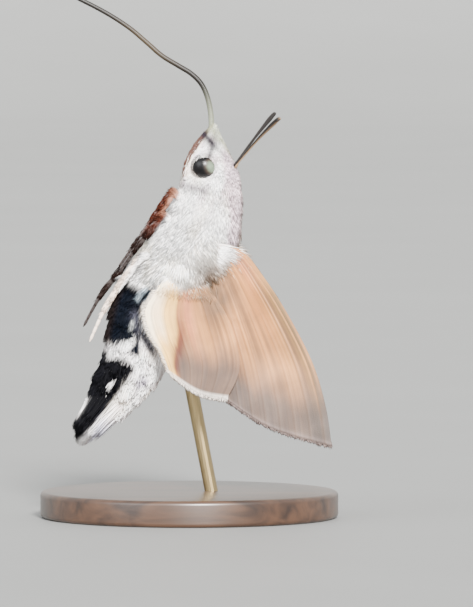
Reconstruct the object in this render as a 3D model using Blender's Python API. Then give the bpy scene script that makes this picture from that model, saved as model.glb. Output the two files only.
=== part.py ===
"""A life-size hummingbird hawk moth, hovering with its wings raised, on a small display stand.

Sizes are in millimetres until a node is finished, and then become metres. The moth is modelled
in its own frame, +X towards its head, +Y to its left and +Z out of its back, and an empty turns
it into its pose over the stand.
"""

import math
import random

import bmesh
import bpy
from mathutils import Matrix, Vector

MM = 0.001
GAP = 0.3  # the space kept between neighbouring pieces
LEFT, RIGHT = 1, -1
SIDES = (("left", LEFT), ("right", RIGHT))

# Pose over the stand
BODY_PITCH = 113.3  # degrees, nose up and past the vertical
THORAX_OFFSET = 0.45
THORAX_HEIGHT = 26.0

# Trunk, nose to tail: place along the body, height of the back and of the belly, half width
TRUNK = (
    (8.90, -1.25, -2.15, 0.45),
    (7.80, 0.10, -2.55, 1.15),
    (6.30, 1.75, -2.90, 2.10),
    (4.70, 2.70, -3.00, 2.35),
    (3.10, 3.40, -2.85, 2.70),
    (1.00, 4.08, -2.95, 3.60),
    (-1.50, 4.30, -3.45, 4.00),
    (-4.00, 3.85, -3.95, 3.75),
    (-6.00, 3.20, -4.25, 3.25),
    (-8.50, 2.95, -4.40, 3.30),
    (-11.00, 2.75, -3.95, 3.35),
    (-13.50, 2.40, -3.25, 3.05),
    (-15.50, 1.85, -3.20, 2.55),
    (-17.80, 1.00, -3.00, 1.90),
)
TRUNK_ROUNDNESS = 2.15  # the exponent of its cross-sections, where 2 is an ellipse
HEAD_FRONT, NECK, WAIST, ABDOMEN_END = 8.85, 3.10, -5.80, -17.40
SEGMENTS = 6
SEGMENT_STEP = 0.045  # how far each segment's rear edge flares, as a share of its size

# A lock's profile, root to tip: share of its length, of its width and of its thickness
LOCK_PROFILE = ((0.0, 0.80, 1.0), (0.35, 1.0, 0.95), (0.70, 0.90, 0.8), (0.92, 0.50, 0.6))
LOCK_THICKNESS = 0.52

# The tail's tiers of locks, back to belly: height and place along the body of the roots, height
# and place along the body of the tips, how many locks, half width of the tier's tips
TAIL_TIERS = (
    (0.65, -17.95, 0.05, -20.20, 4, 1.1),
    (0.10, -18.05, -0.80, -21.35, 6, 2.1),
    (-0.80, -18.15, -1.75, -22.10, 7, 2.7),
    (-1.75, -18.10, -2.50, -21.80, 6, 2.3),
    (-2.50, -17.95, -3.20, -20.70, 5, 1.5),
)
TAIL_CORE_REACH = 2.0
TAIL_LOCK_WIDTH = 1.55

# The abdomen's side tufts, front to rear: place along the body, length, standing out, locks
SIDE_TUFTS = (
    (-9.00, 2.1, 13.0, 3),
    (-11.10, 2.4, 15.0, 4),
    (-13.10, 2.6, 17.0, 4),
    (-15.00, 2.6, 15.0, 4),
)
SIDE_TUFT_ARC = (-42.0, 22.0)  # degrees round the flank, where 0 is its widest line
SIDE_TUFT_WIDTH = 1.25
SEED = 7

EYE_RADIUS = 1.2
EYE_PLACE = (5.75, 1.42, -1.55)

# A palp, root to tip: place along the body, distance from the middle, height, radius
PALP = (
    (3.95, 0.95, -2.55, 0.35),
    (4.60, 0.98, -2.68, 0.62),
    (5.90, 0.98, -2.60, 0.72),
    (7.30, 0.90, -2.42, 0.68),
    (8.50, 0.78, -2.20, 0.52),
    (9.20, 0.68, -2.12, 0.30),
)

ANTENNA_LENGTH = 9.1
ANTENNA_ROOT = (6.70, 0.80, 1.00)
ANTENNA_SPREAD = 45.0  # degrees out from the middle
ANTENNA_LIFT = 17.0  # degrees up from the body's line
ANTENNA_RADII = ((0.0, 0.30), (0.12, 0.21), (0.45, 0.24), (0.80, 0.36), (0.93, 0.28), (1.0, 0.07))
ANTENNA_BOW = 0.5
ANTENNA_HOOK = 0.5

# The proboscis: its line in the body's middle plane, as places along the body and heights
PROBOSCIS_LINE = (
    (8.55, -2.02), (9.60, -2.45), (10.70, -3.05), (11.75, -3.85), (12.50, -4.75),
    (12.95, -5.90), (13.15, -7.30), (13.40, -9.00), (13.95, -10.70), (14.55, -12.70),
    (14.95, -15.10), (15.15, -17.80), (15.25, -20.60), (15.20, -23.40), (14.95, -26.20),
)
PROBOSCIS_RADIUS = 0.29
PROBOSCIS_TIP_RADIUS = 0.20
PROBOSCIS_SPLITS = (0.0, 0.24, 0.62, 1.0)
PROBOSCIS_NAMES = ("proboscis_base", "proboscis_middle", "proboscis_tip")

WING_THICKNESS = 0.5
WING_MARGIN_THICKNESS = 0.3
VEIN_HEIGHT = 0.1
WING_TILT = 18.0  # degrees out from the body's middle plane
# A wing's four edges in side view, as places along the body and heights
FOREWING = {
    "front": ((-0.25, 1.75), (0.20, 4.40), (-1.55, 7.75), (-3.75, 10.95), (-6.60, 14.30),
              (-9.70, 16.85), (-12.60, 18.60)),
    "rear": ((-2.45, 1.55), (-4.30, 2.90), (-6.60, 4.15), (-9.60, 6.05), (-12.50, 7.95)),
    "outer": ((-12.60, 18.60), (-13.05, 15.80), (-13.30, 13.30), (-13.10, 10.95),
              (-12.50, 7.95)),
    "veins": (0.05, 0.17, 0.30, 0.43, 0.56, 0.69, 0.82, 0.94),
    "late_veins": (2, 3, 4, 5),
    "cell_end": 0.42,
    "rows": 11,
}
HINDWING = {
    "front": ((-3.15, 1.05), (-4.20, 3.30), (-6.30, 6.20), (-9.40, 8.35), (-12.50, 8.40)),
    "rear": ((-3.60, -0.20), (-5.00, -0.90), (-6.40, -1.25), (-8.20, -1.40), (-9.85, -0.20),
             (-11.05, 1.45), (-12.45, 2.85)),
    "outer": ((-12.50, 8.40), (-13.05, 5.80), (-12.45, 2.85)),
    "veins": (0.07, 0.25, 0.43, 0.60, 0.77, 0.93),
    "late_veins": (2, 3),
    "cell_end": 0.45,
    "rows": 9,
}
FOREWING_ROOT_Y = 3.30
HINDWING_ROOT_Y = 3.40
HINDWING_PLANE_Y = 4.20
WING_TIP_BEND = 0.9

# Legs: root to claw, as places along the body, distance from the middle and heights
LEG_LINES = {
    "leg_front": ((2.15, 1.20, -2.05), (2.30, 1.45, -3.02), (1.20, 1.20, -3.42),
                  (-0.60, 0.75, -3.86), (-2.60, 0.52, -4.32)),
    "leg_middle": ((-0.05, 1.75, -2.15), (0.10, 2.15, -3.14), (-1.20, 1.85, -3.60),
                   (-3.40, 1.50, -4.24), (-6.00, 1.15, -4.80)),
    "leg_hind": ((-3.70, 2.10, -2.55), (-4.10, 2.60, -3.50), (-6.60, 2.40, -4.20),
                 (-9.60, 2.00, -4.70), (-12.90, 1.70, -4.78)),
}
# How far the far side's leg ends from the near one's mirror image: the two are never quite alike
LEG_STRAY = {"leg_front": (0.2, 0.0), "leg_middle": (0.2, -0.15), "leg_hind": (0.85, -0.95)}
LEG_CUTS = ((-0.03, 0.14), (0.17, 0.6))  # thigh and shin, as shares of the leg's length
LEG_RADII = ((0.0, 0.36), (0.2, 0.40), (0.45, 0.33), (0.7, 0.27), (0.95, 0.24), (1.0, 0.12))

# Stand
BASE_DIAMETER, BASE_THICKNESS, BASE_BEVEL = 27.0, 2.4, 0.4
ROD_DIAMETER = 1.2
ROD_FOOT = 2.26  # how far from the base's middle the rod stands
ROD_SOCKET_DEPTH = 1.4
ROD_MEETS = -9.5  # the place along the body where the rod reaches the back
ROD_SINK = 0.9

COLOURS = {
    "white_fur": (0.86, 0.84, 0.82, 1.0, 0.9, 0.0),
    "grey_fur": (0.42, 0.37, 0.33, 1.0, 0.9, 0.0),
    "abdomen": (0.30, 0.28, 0.28, 1.0, 0.9, 0.0),
    "tail": (0.05, 0.05, 0.07, 1.0, 0.8, 0.0),
    "eye": (0.02, 0.02, 0.02, 1.0, 0.2, 0.0),
    "horn": (0.16, 0.11, 0.08, 1.0, 0.6, 0.0),
    "leg": (0.35, 0.25, 0.19, 1.0, 0.8, 0.0),
    "forewing": (0.66, 0.47, 0.33, 1.0, 0.8, 0.0),
    "hindwing": (0.78, 0.52, 0.28, 1.0, 0.8, 0.0),
    "base": (0.16, 0.09, 0.05, 1.0, 0.5, 0.0),
    "rod": (0.70, 0.60, 0.40, 1.0, 0.3, 1.0),
}


def clear_scene():
    for found in list(bpy.data.objects):
        bpy.data.objects.remove(found)


def material(slot):
    """The material of that slot, made the first time it is asked for."""
    found = bpy.data.materials.get(slot)
    if found:
        return found
    made = bpy.data.materials.new(slot)
    made.use_nodes = True
    shader = made.node_tree.nodes["Principled BSDF"]
    *colour, roughness, metallic = COLOURS[slot]
    shader.inputs["Base Color"].default_value = colour
    shader.inputs["Roughness"].default_value = roughness
    shader.inputs["Metallic"].default_value = metallic
    made.diffuse_color = colour
    return made


def object_of(name, mesh_data):
    """An object for the mesh, in the scene."""
    made = bpy.data.objects.new(name, mesh_data)
    bpy.context.scene.collection.objects.link(made)
    return made


def from_bmesh(name, shape):
    """Turns a bmesh with all its faces pointing out into an object."""
    bmesh.ops.recalc_face_normals(shape, faces=shape.faces)
    data = bpy.data.meshes.new(name)
    shape.to_mesh(data)
    shape.free()
    return object_of(name, data)


def from_rings(name, rings):
    """Closes a skin over the rings, in order. A ring of one point is a tip."""
    shape = bmesh.new()
    loops = [[shape.verts.new(point) for point in ring] for ring in rings]
    for here, there in zip(loops, loops[1:]):
        count = max(len(here), len(there))
        for i in range(count):
            j = (i + 1) % count
            corners = [here[i % len(here)], here[j % len(here)]]
            corners += [there[j % len(there)], there[i % len(there)]]
            shape.faces.new(list(dict.fromkeys(corners)))
    for cap in (loops[0], loops[-1]):
        if len(cap) > 2:
            shape.faces.new(cap)
    return from_bmesh(name, shape)


def smooth_line(points, per_span=10):
    """Closely spaced places on a smooth curve through the points."""
    points = [Vector(point) for point in points]
    line = []
    for i in range(len(points) - 1):
        before, start = points[max(i - 1, 0)], points[i]
        end, after = points[i + 1], points[min(i + 2, len(points) - 1)]
        for step in range(per_span):
            t = step / per_span
            line.append(
                start
                + (end - before) * (t / 2)
                + (2 * before - 5 * start + 4 * end - after) * (t * t / 2)
                + (3 * start - before - 3 * end + after) * (t**3 / 2)
            )
    line.append(points[-1])
    return line


def lengths_along(line):
    """The distance from the line's start to each of its places."""
    run = [0.0]
    for here, there in zip(line, line[1:]):
        run.append(run[-1] + (there - here).length)
    return run


def place_on(line, share):
    """The place at that share of the line's length. Past an end, the line goes on straight."""
    run = lengths_along(line)
    wanted = share * run[-1]
    i = 0
    while i < len(line) - 2 and run[i + 1] < wanted:
        i += 1
    t = (wanted - run[i]) / (run[i + 1] - run[i])
    return line[i] + (line[i + 1] - line[i]) * t


def read_table(table, share):
    """The value at that share, from a table of shares and values, straight between its rows."""
    for (low, first), (high, second) in zip(table, table[1:]):
        if share <= high:
            return first + (second - first) * (share - low) / (high - low)
    return table[-1][1]


def spread(start, end, count):
    """That many evenly spaced numbers, both ends counted."""
    return [start + (end - start) * i / (count - 1) for i in range(count)]


def mirrored(point, side):
    return Vector((point[0], point[1] * side, point[2]))


TRUNK_LINE = smooth_line(TRUNK)


def trunk_at(x):
    """Height of the back and the belly, and the half width, of the trunk at a place along it."""
    for here, there in zip(TRUNK_LINE, TRUNK_LINE[1:]):
        if there[0] <= x:
            t = (x - here[0]) / (there[0] - here[0])
            return (here + (there - here) * t)[1:]
    return TRUNK_LINE[-1][1:]


def trunk_point(x, angle, scale=1.0, extra=0.0):
    """A place on the trunk's surface. The angle starts at the left side and turns over the back."""
    back, belly, half_width = trunk_at(x)
    power = 2 / TRUNK_ROUNDNESS
    across = math.copysign(abs(math.cos(angle)) ** power, math.cos(angle))
    upward = math.copysign(abs(math.sin(angle)) ** power, math.sin(angle))
    middle, half_height = (back + belly) / 2, (back - belly) / 2
    half_width = half_width * scale + extra
    half_height = half_height * scale + extra
    return Vector((x, half_width * across, middle + half_height * upward))


def trunk_piece(name, front, rear, rings, sides, scale_at=None, extra=0.0):
    """A length of the trunk, cut square at both ends."""
    loops = []
    for x in spread(front, rear, rings):
        scale = scale_at(x) if scale_at else 1.0
        angles = [2 * math.pi * i / sides for i in range(sides)]
        loops.append([trunk_point(x, angle, scale, extra) for angle in angles])
    return from_rings(name, loops)


def ring_round(centre, heading, radius, sides, upright):
    """A ring of points about a centre, square to the heading."""
    heading = heading.normalized()
    aside = heading.cross(upright).normalized()
    upright = aside.cross(heading)
    return [
        centre
        + aside * (radius * math.cos(2 * math.pi * i / sides))
        + upright * (radius * math.sin(2 * math.pi * i / sides))
        for i in range(sides)
    ]


def tube(name, line, radius_at, rings, sides, shares=(0.0, 1.0), upright=Vector((0, 1, 0))):
    """A tube along part of a line, with a radius for each share of the whole line."""
    loops = []
    for share in spread(*shares, rings):
        centre = place_on(line, share)
        heading = place_on(line, share + 0.01) - place_on(line, share - 0.01)
        loops.append(ring_round(centre, heading, radius_at(share), sides, upright))
    return from_rings(name, loops)


def evaluated(made):
    """Replaces the object's mesh by the one that its modifiers give."""
    graph = bpy.context.evaluated_depsgraph_get()
    made.data = bpy.data.meshes.new_from_object(made.evaluated_get(graph))
    made.modifiers.clear()
    return made


def boolean(made, others, operation):
    """Joins the others to the object, or cuts them from it, and removes them."""
    group = bpy.data.collections.new("pieces")
    bpy.context.scene.collection.children.link(group)
    for other in others:
        bpy.context.scene.collection.objects.unlink(other)
        group.objects.link(other)
    step = made.modifiers.new("Boolean", "BOOLEAN")
    step.operation = operation
    step.operand_type = "COLLECTION"
    step.collection = group
    step.solver = "EXACT"
    evaluated(made)
    for other in others:
        bpy.data.objects.remove(other)
    bpy.data.collections.remove(group)
    return keep_largest(made)


def keep_largest(made):
    """Drops every closed surface but the largest."""
    shape = bmesh.new()
    shape.from_mesh(made.data)
    shape.verts.index_update()
    left, surfaces = set(shape.verts), []
    while left:
        start = left.pop()
        found, edge = {start}, [start]
        while edge:
            vert = edge.pop()
            for link in vert.link_edges:
                other = link.other_vert(vert)
                if other in left:
                    left.discard(other)
                    found.add(other)
                    edge.append(other)
        surfaces.append(found)
    largest = max(surfaces, key=len)
    bmesh.ops.delete(shape, geom=[v for v in shape.verts if v not in largest], context="VERTS")
    bmesh.ops.dissolve_degenerate(shape, dist=0.002, edges=shape.edges)
    shape.to_mesh(made.data)
    shape.free()
    return made


def finish(made, slot, parent, smooth_angle=40.0):
    """Turns the piece's millimetres into metres, and gives it its material and parent."""
    made.data.transform(Matrix.Scale(MM, 4))
    made.data.materials.clear()
    made.data.materials.append(material(slot))
    made.data.shade_smooth()
    made.data.set_sharp_from_angle(angle=math.radians(smooth_angle))
    made.parent = parent
    return made


def ball(name, centre, radius, across=16, along=10):
    shape = bmesh.new()
    bmesh.ops.create_uvsphere(
        shape, u_segments=across, v_segments=along, radius=radius, matrix=Matrix.Translation(centre)
    )
    return from_bmesh(name, shape)


def palp(name, side, extra=0.0):
    """A palp: the two lie under the face and make the snout."""
    line = smooth_line([mirrored(row[:3], side) for row in PALP])
    radii = [(i / (len(PALP) - 1), row[3] + extra) for i, row in enumerate(PALP)]
    return tube(name, line, lambda share: read_table(radii, share), 10, 10,
                upright=Vector((0, 0, 1)))


def antenna_line(side):
    """The line of an antenna: out, forward and up, bowed, with a small hook at the tip."""
    out, up = math.radians(ANTENNA_SPREAD), math.radians(ANTENNA_LIFT)
    heading = Vector((math.cos(out) * math.cos(up), math.sin(out), math.cos(out) * math.sin(up)))
    backward = Vector((-math.sin(out), math.cos(out), 0))
    root = Vector(ANTENNA_ROOT)
    line = []
    for share in spread(0.0, 1.0, 25):
        bow = ANTENNA_BOW * math.sin(math.pi * share)
        hook = ANTENNA_HOOK * max(0.0, (share - 0.88) / 0.12) ** 2
        point = root + heading * (ANTENNA_LENGTH * share) - backward * bow + backward * hook
        line.append(mirrored(point, side))
    return line


def antenna(name, side, extra=0.0, shares=(0.0, 1.0), rings=17):
    return tube(name, antenna_line(side), lambda share: read_table(ANTENNA_RADII, share) + extra,
                rings, 8, shares, upright=Vector((0, 0, 1)))


PROBOSCIS = smooth_line([(x, 0.0, z) for x, z in PROBOSCIS_LINE])


def proboscis(name, shares, extra=0.0, rings=14):
    def radius_at(share):
        return PROBOSCIS_RADIUS + (PROBOSCIS_TIP_RADIUS - PROBOSCIS_RADIUS) * share + extra

    return tube(name, PROBOSCIS, radius_at, rings, 8, shares)


def wing_plane(wing, k, t):
    """The place in side view at a share k from front to rear edge and a share t from root to
    outer edge, filled in between the wing's four edges."""
    front, rear, outer = wing["front_line"], wing["rear_line"], wing["outer_line"]
    root_front, root_rear = front[0], rear[0]
    apex, corner = outer[0], outer[-1]
    along = place_on(front, t) * (1 - k) + place_on(rear, t) * k
    across = (root_front * (1 - k) + root_rear * k) * (1 - t) + place_on(outer, k) * t
    flat = (root_front * (1 - t) + apex * t) * (1 - k) + (root_rear * (1 - t) + corner * t) * k
    return along + across - flat


def eased(share):
    share = min(max(share, 0.0), 1.0)
    return share * share * (3 - 2 * share)


def forewing_y(z, t):
    """How far out the forewing's middle lies."""
    tilt = math.tan(math.radians(WING_TILT))
    return FOREWING_ROOT_Y + tilt * (z - FOREWING["front"][0][1]) + WING_TIP_BEND * t * t


def hindwing_y(z, t):
    """The hindwing lies outside the forewing, and bows out round the abdomen's side."""
    tilt = math.tan(math.radians(WING_TILT))
    plane = HINDWING_PLANE_Y + tilt * math.hypot(z - 1.0, 1.0) + WING_TIP_BEND * 0.8 * t * t
    return HINDWING_ROOT_Y + (plane - HINDWING_ROOT_Y) * eased(t / 0.22)


def wing_columns(veins, width=0.022):
    """The shares from front to rear edge that carry a line of points: the two edges, and each
    vein's crest with a foot on both sides."""
    columns = [(0.0, None)]
    for number, k in enumerate(veins):
        columns += [(k - width, None), (k, number), (k + width, None)]
    return columns + [(1.0, None)]


def half_thickness(wing, number, t, on_margin):
    """Half the wing's thickness: least at its margin, and most along a vein."""
    if on_margin:
        return WING_MARGIN_THICKNESS / 2
    height = 0.0
    if number is not None:
        late = number in wing["late_veins"]
        height = VEIN_HEIGHT * (eased((t - wing["cell_end"]) / 0.1 + 1) if late else 1.0)
    return WING_THICKNESS / 2 + height


def wing(name, wing_sizes, y_at, side):
    """A wing as a membrane with raised veins, its triangles alike on both faces. Its root is cut
    to fit the thorax."""
    sizes = dict(wing_sizes)
    for edge in ("front", "rear", "outer"):
        sizes[edge + "_line"] = smooth_line([(x, z) for x, z in sizes[edge]])
    columns = wing_columns(sizes["veins"])
    rows = spread(0.0, 1.0, sizes["rows"])
    shape = bmesh.new()
    faces_of = {LEFT: [], RIGHT: []}
    for row, t in enumerate(rows):
        for face in (LEFT, RIGHT):
            line = []
            for column, (k, number) in enumerate(columns):
                on_margin = row == len(rows) - 1 or column in (0, len(columns) - 1)
                half = half_thickness(sizes, number, t, on_margin)
                x, z = wing_plane(sizes, k, t)
                y = y_at(z, t) + half * face
                line.append(shape.verts.new((x, y * side, z)))
            faces_of[face].append(line)
    for row in range(len(rows) - 1):
        for column in range(len(columns) - 1):
            for face in (LEFT, RIGHT):
                low, high = faces_of[face][row], faces_of[face][row + 1]
                shape.faces.new((low[column], low[column + 1], high[column + 1]))
                shape.faces.new((low[column], high[column + 1], high[column]))
    rim = [(0, c) for c in range(len(columns))]
    rim += [(r, len(columns) - 1) for r in range(1, len(rows))]
    rim += [(len(rows) - 1, c) for c in range(len(columns) - 2, -1, -1)]
    rim += [(r, 0) for r in range(len(rows) - 2, 0, -1)]
    for (r, c), (r2, c2) in zip(rim, rim[1:] + rim[:1]):
        outer, inner = faces_of[LEFT], faces_of[RIGHT]
        shape.faces.new((outer[r][c], outer[r2][c2], inner[r2][c2]))
        shape.faces.new((outer[r][c], inner[r2][c2], inner[r][c]))
    made = from_bmesh(name, shape)
    return boolean(made, [trunk_piece("cutter", 3.0, -12.0, 16, 32, extra=GAP)], "DIFFERENCE")


def leg_line(leg, side):
    """The line of a leg. The right one strays a little from the left one's mirror image."""
    points = [Vector(point) for point in LEG_LINES[leg]]
    if side == RIGHT:
        back, down = LEG_STRAY[leg]
        for i, point in enumerate(points):
            share = i / (len(points) - 1)
            point.x += back * share
            point.z += down * share
    return smooth_line([mirrored(point, side) for point in points])


def leg(name, kind, side, extra=0.0, shares=(0.0, 1.0), rings=13):
    return tube(name, leg_line(kind, side), lambda share: read_table(LEG_RADII, share) + extra,
                rings, 7, shares)


def body_to_world(point):
    """Where a place in the moth's own frame comes to be over the stand, in millimetres."""
    pitch = math.radians(BODY_PITCH)
    x, y, z = point
    return Vector((
        THORAX_OFFSET + x * math.cos(pitch) * -1 + z * math.sin(pitch),
        -y,
        THORAX_HEIGHT + x * math.sin(pitch) + z * math.cos(pitch),
    ))


def world_to_body(point):
    pitch = math.radians(BODY_PITCH)
    x, z = point[0] - THORAX_OFFSET, point[2] - THORAX_HEIGHT
    return Vector((
        -x * math.cos(pitch) + z * math.sin(pitch),
        -point[1],
        x * math.sin(pitch) + z * math.cos(pitch),
    ))


def rod_line():
    """The rod's line over the stand, from its foot in the base to its top in the moth's back."""
    foot = Vector((ROD_FOOT, 0.0, BASE_THICKNESS - ROD_SOCKET_DEPTH))
    meets = body_to_world((ROD_MEETS, 0.0, trunk_at(ROD_MEETS)[0]))
    heading = (meets - foot).normalized()
    return [foot, meets + heading * ROD_SINK]


def make_head(pose):
    head = trunk_piece("head", HEAD_FRONT, NECK + GAP / 2, 9, 24)
    cutters = []
    for _, side in SIDES:
        cutters.append(ball("cutter", mirrored(EYE_PLACE, side), EYE_RADIUS + GAP))
        cutters.append(palp("cutter", side, extra=GAP))
        cutters.append(antenna("cutter", side, extra=GAP, shares=(-0.02, 0.3), rings=5))
    cutters.append(proboscis("cutter", (-0.02, 0.08), extra=GAP, rings=4))
    for cutter in cutters:
        boolean(head, [cutter], "DIFFERENCE")
    finish(head, "white_fur", pose)
    for word, side in SIDES:
        eye = ball("eye_" + word, mirrored(EYE_PLACE, side), EYE_RADIUS)
        finish(eye, "eye", pose)
        snout = palp("palp_" + word, side)
        boolean(snout, [ball("cutter", mirrored(EYE_PLACE, side), EYE_RADIUS + GAP)], "DIFFERENCE")
        boolean(snout, [proboscis("cutter", (-0.02, 0.12), extra=GAP, rings=6)], "DIFFERENCE")
        finish(snout, "white_fur", pose)
        finish(antenna("antenna_" + word, side), "horn", pose)


def make_proboscis(pose):
    whole = lengths_along(PROBOSCIS)[-1]
    half_gap = GAP / 2 / whole
    for name, start, end in zip(PROBOSCIS_NAMES, PROBOSCIS_SPLITS, PROBOSCIS_SPLITS[1:]):
        start += half_gap if start > 0 else 0.0
        end -= half_gap if end < 1 else 0.0
        finish(proboscis(name, (start, end)), "horn", pose)


def make_thorax(pose):
    thorax = trunk_piece("thorax", NECK - GAP / 2, WAIST + GAP / 2, 11, 24)
    for _, side in SIDES:
        for kind in LEG_LINES:
            for shares in LEG_CUTS:
                cutter = leg("cutter", kind, side, extra=GAP, shares=shares, rings=5)
                boolean(thorax, [cutter], "DIFFERENCE")
    finish(thorax, "white_fur", pose)


def make_wings(pose):
    for word, side in SIDES:
        finish(wing("forewing_" + word, FOREWING, forewing_y, side), "forewing", pose)
        finish(wing("hindwing_" + word, HINDWING, hindwing_y, side), "hindwing", pose)


def make_legs(pose):
    for kind in LEG_LINES:
        for word, side in SIDES:
            finish(leg(kind + "_" + word, kind, side), "leg", pose)


def lock(root, heading, outward, length, width, bend=0.0):
    """A flat, tapered lock that bends outward, or inward with a negative bend."""
    heading = heading.normalized()
    aside = heading.cross(outward).normalized()
    outward = aside.cross(heading)
    rings = []
    for share, wide, thick in LOCK_PROFILE:
        centre = root + heading * (length * share) + outward * (bend * share * share)
        half_width = aside * (width * wide / 2)
        half_thickness = outward * (LOCK_THICKNESS * thick / 2)
        rings.append([
            centre - half_width,
            centre - half_width * 0.35 + half_thickness,
            centre + half_width * 0.35 + half_thickness,
            centre + half_width,
            centre - half_thickness,
        ])
    rings.append([root + heading * length + outward * bend])
    return from_rings("lock", rings)


def segment_scale(x):
    """Each segment of the abdomen widens to its rear edge, over the front of the next one."""
    share = (WAIST - x) / (WAIST - ABDOMEN_END) * SEGMENTS
    return 1.0 + SEGMENT_STEP * ((share % 1.0) - 0.5)


def side_tufts():
    """The flat tufts along both flanks of the abdomen, each a few locks over one another."""
    draw = random.Random(SEED)
    locks = []
    for x, length, stand_out, count in SIDE_TUFTS:
        for row, degrees in enumerate(spread(*SIDE_TUFT_ARC, count)):
            long = length * draw.uniform(0.88, 1.08)
            shift = draw.uniform(-0.25, 0.25) - 0.35 * (row % 2)
            for _, side in SIDES:
                surface = trunk_point(x + shift, math.radians(degrees))
                outward = Vector((0, surface.y, surface.z * 0.8)).normalized()
                behind = trunk_point(x + shift - 1.0, math.radians(degrees))
                heading = (behind - surface).normalized()
                heading += outward * math.tan(math.radians(stand_out))
                root = surface - outward * 0.35 - heading * 0.4
                locks.append(lock(
                    mirrored(root, side), mirrored(heading, side), mirrored(outward, side),
                    long, SIDE_TUFT_WIDTH, bend=-0.12,
                ))
    return locks


def make_abdomen(pose):
    abdomen = trunk_piece("abdomen", WAIST - GAP / 2, ABDOMEN_END, 4 * SEGMENTS + 1, 24,
                          segment_scale)
    foot, top = [world_to_body(point) for point in rod_line()]
    heading = (top - foot).normalized()
    rings = []
    for centre in (top - heading * 6.0, top + heading * GAP):
        rings.append(ring_round(centre, heading, ROD_DIAMETER / 2 + GAP, 16, Vector((0, 1, 0))))
    boolean(abdomen, [from_rings("cutter", rings)], "DIFFERENCE")
    boolean(abdomen, side_tufts(), "UNION")
    finish(abdomen, "abdomen", pose)


def tail_locks():
    """The tail's tiers of locks, which spread like a fan and lie over one another."""
    draw = random.Random(SEED)
    locks = []
    for root_z, root_x, tip_z, tip_x, count, half_width in TAIL_TIERS:
        for share in spread(-1.0, 1.0, count):
            root = Vector((root_x, share * min(1.35, half_width * 0.62), root_z))
            shorter = 0.30 * share * share + draw.uniform(0.0, 0.12)
            tip = Vector((tip_x + (root_x - tip_x) * shorter, share * half_width, tip_z))
            locks.append(lock(root, tip - root, Vector((0, 0, 1)), (tip - root).length,
                              TAIL_LOCK_WIDTH, bend=0.0))
    return locks


def make_tail(pose):
    """The tail fan: a short core, and the locks that grow from it."""
    front = ABDOMEN_END - GAP
    core = []
    for share in spread(0.0, 1.0, 5):
        x = front - TAIL_CORE_REACH * share
        angles = [2 * math.pi * i / 20 for i in range(20)]
        core.append([trunk_point(x, angle, 1.0 - 0.45 * share * share) for angle in angles])
    fan = from_rings("tail_fan", core)
    boolean(fan, tail_locks(), "UNION")
    finish(fan, "tail", pose)


def make_stand():
    shape = bmesh.new()
    bmesh.ops.create_cone(
        shape, cap_ends=True, segments=48, radius1=BASE_DIAMETER / 2, radius2=BASE_DIAMETER / 2,
        depth=BASE_THICKNESS, matrix=Matrix.Translation((0, 0, BASE_THICKNESS / 2)),
    )
    rim = [e for e in shape.edges if len({round(v.co.z, 3) for v in e.verts}) == 1]
    bmesh.ops.bevel(shape, geom=rim, offset=BASE_BEVEL, segments=2, profile=0.5,
                    affect="EDGES")
    base = from_bmesh("stand_base", shape)
    foot, top = rod_line()
    heading = (top - foot).normalized()
    radius = ROD_DIAMETER / 2
    socket = [ring_round(c, heading, radius + GAP, 16, Vector((0, 1, 0)))
              for c in (foot - heading * GAP, foot + heading * 4.0)]
    boolean(base, [from_rings("cutter", socket)], "DIFFERENCE")
    finish(base, "base", None)
    rings = [ring_round(c, heading, radius, 16, Vector((0, 1, 0))) for c in (foot, top)]
    finish(from_rings("stand_rod", rings), "rod", None)


def make_pose():
    """The empty that carries the moth. It faces along -X, pitched up past the vertical."""
    pose = object_of("moth_pose", None)
    pose.location = (THORAX_OFFSET * MM, 0.0, THORAX_HEIGHT * MM)
    pose.rotation_euler = (0.0, -math.radians(BODY_PITCH), math.pi)
    return pose


def main():
    clear_scene()
    pose = make_pose()
    make_head(pose)
    make_proboscis(pose)
    make_thorax(pose)
    make_wings(pose)
    make_legs(pose)
    make_abdomen(pose)
    make_tail(pose)
    make_stand()
    bpy.context.view_layer.update()


main()
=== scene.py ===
"""The looks of a life-size hummingbird hawk moth: skin, fur, scales, wings, eyes and stand.

Shapes are worked out in millimetres in the moth's own frame, +X towards its head, +Y to its left
and +Z out of its back, and are placed over the stand by POSE.
"""

import math

import bpy
import numpy as np
from mathutils import Euler, Matrix, Vector


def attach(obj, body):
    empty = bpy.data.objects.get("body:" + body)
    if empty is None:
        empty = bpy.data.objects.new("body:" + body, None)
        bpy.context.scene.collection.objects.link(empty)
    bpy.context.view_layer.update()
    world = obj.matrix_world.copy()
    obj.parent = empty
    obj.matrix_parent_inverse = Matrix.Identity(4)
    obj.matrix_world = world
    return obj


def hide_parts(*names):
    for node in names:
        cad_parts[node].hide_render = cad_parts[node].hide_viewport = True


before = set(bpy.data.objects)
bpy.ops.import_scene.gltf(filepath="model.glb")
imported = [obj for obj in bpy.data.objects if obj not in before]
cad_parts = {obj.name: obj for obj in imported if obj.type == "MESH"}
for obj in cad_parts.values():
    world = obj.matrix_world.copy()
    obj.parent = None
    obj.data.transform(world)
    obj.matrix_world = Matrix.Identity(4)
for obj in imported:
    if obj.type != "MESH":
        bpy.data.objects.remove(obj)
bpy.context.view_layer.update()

SEED = 11
LEFT, RIGHT = 1, -1
SIDES = (("left", LEFT), ("right", RIGHT))
FULL_TURN = 2 * np.pi
QUICK_SHARE = 1

# Pose over the stand
THORAX_PLACE = (0.00045, 0, 0.026)
BODY_PITCH = math.radians(113.3)
POSE = np.array(
    Matrix.Translation(THORAX_PLACE)
    @ Euler((0, -BODY_PITCH, math.pi)).to_matrix().to_4x4()
    @ Matrix.Scale(0.001, 4)
)

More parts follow.
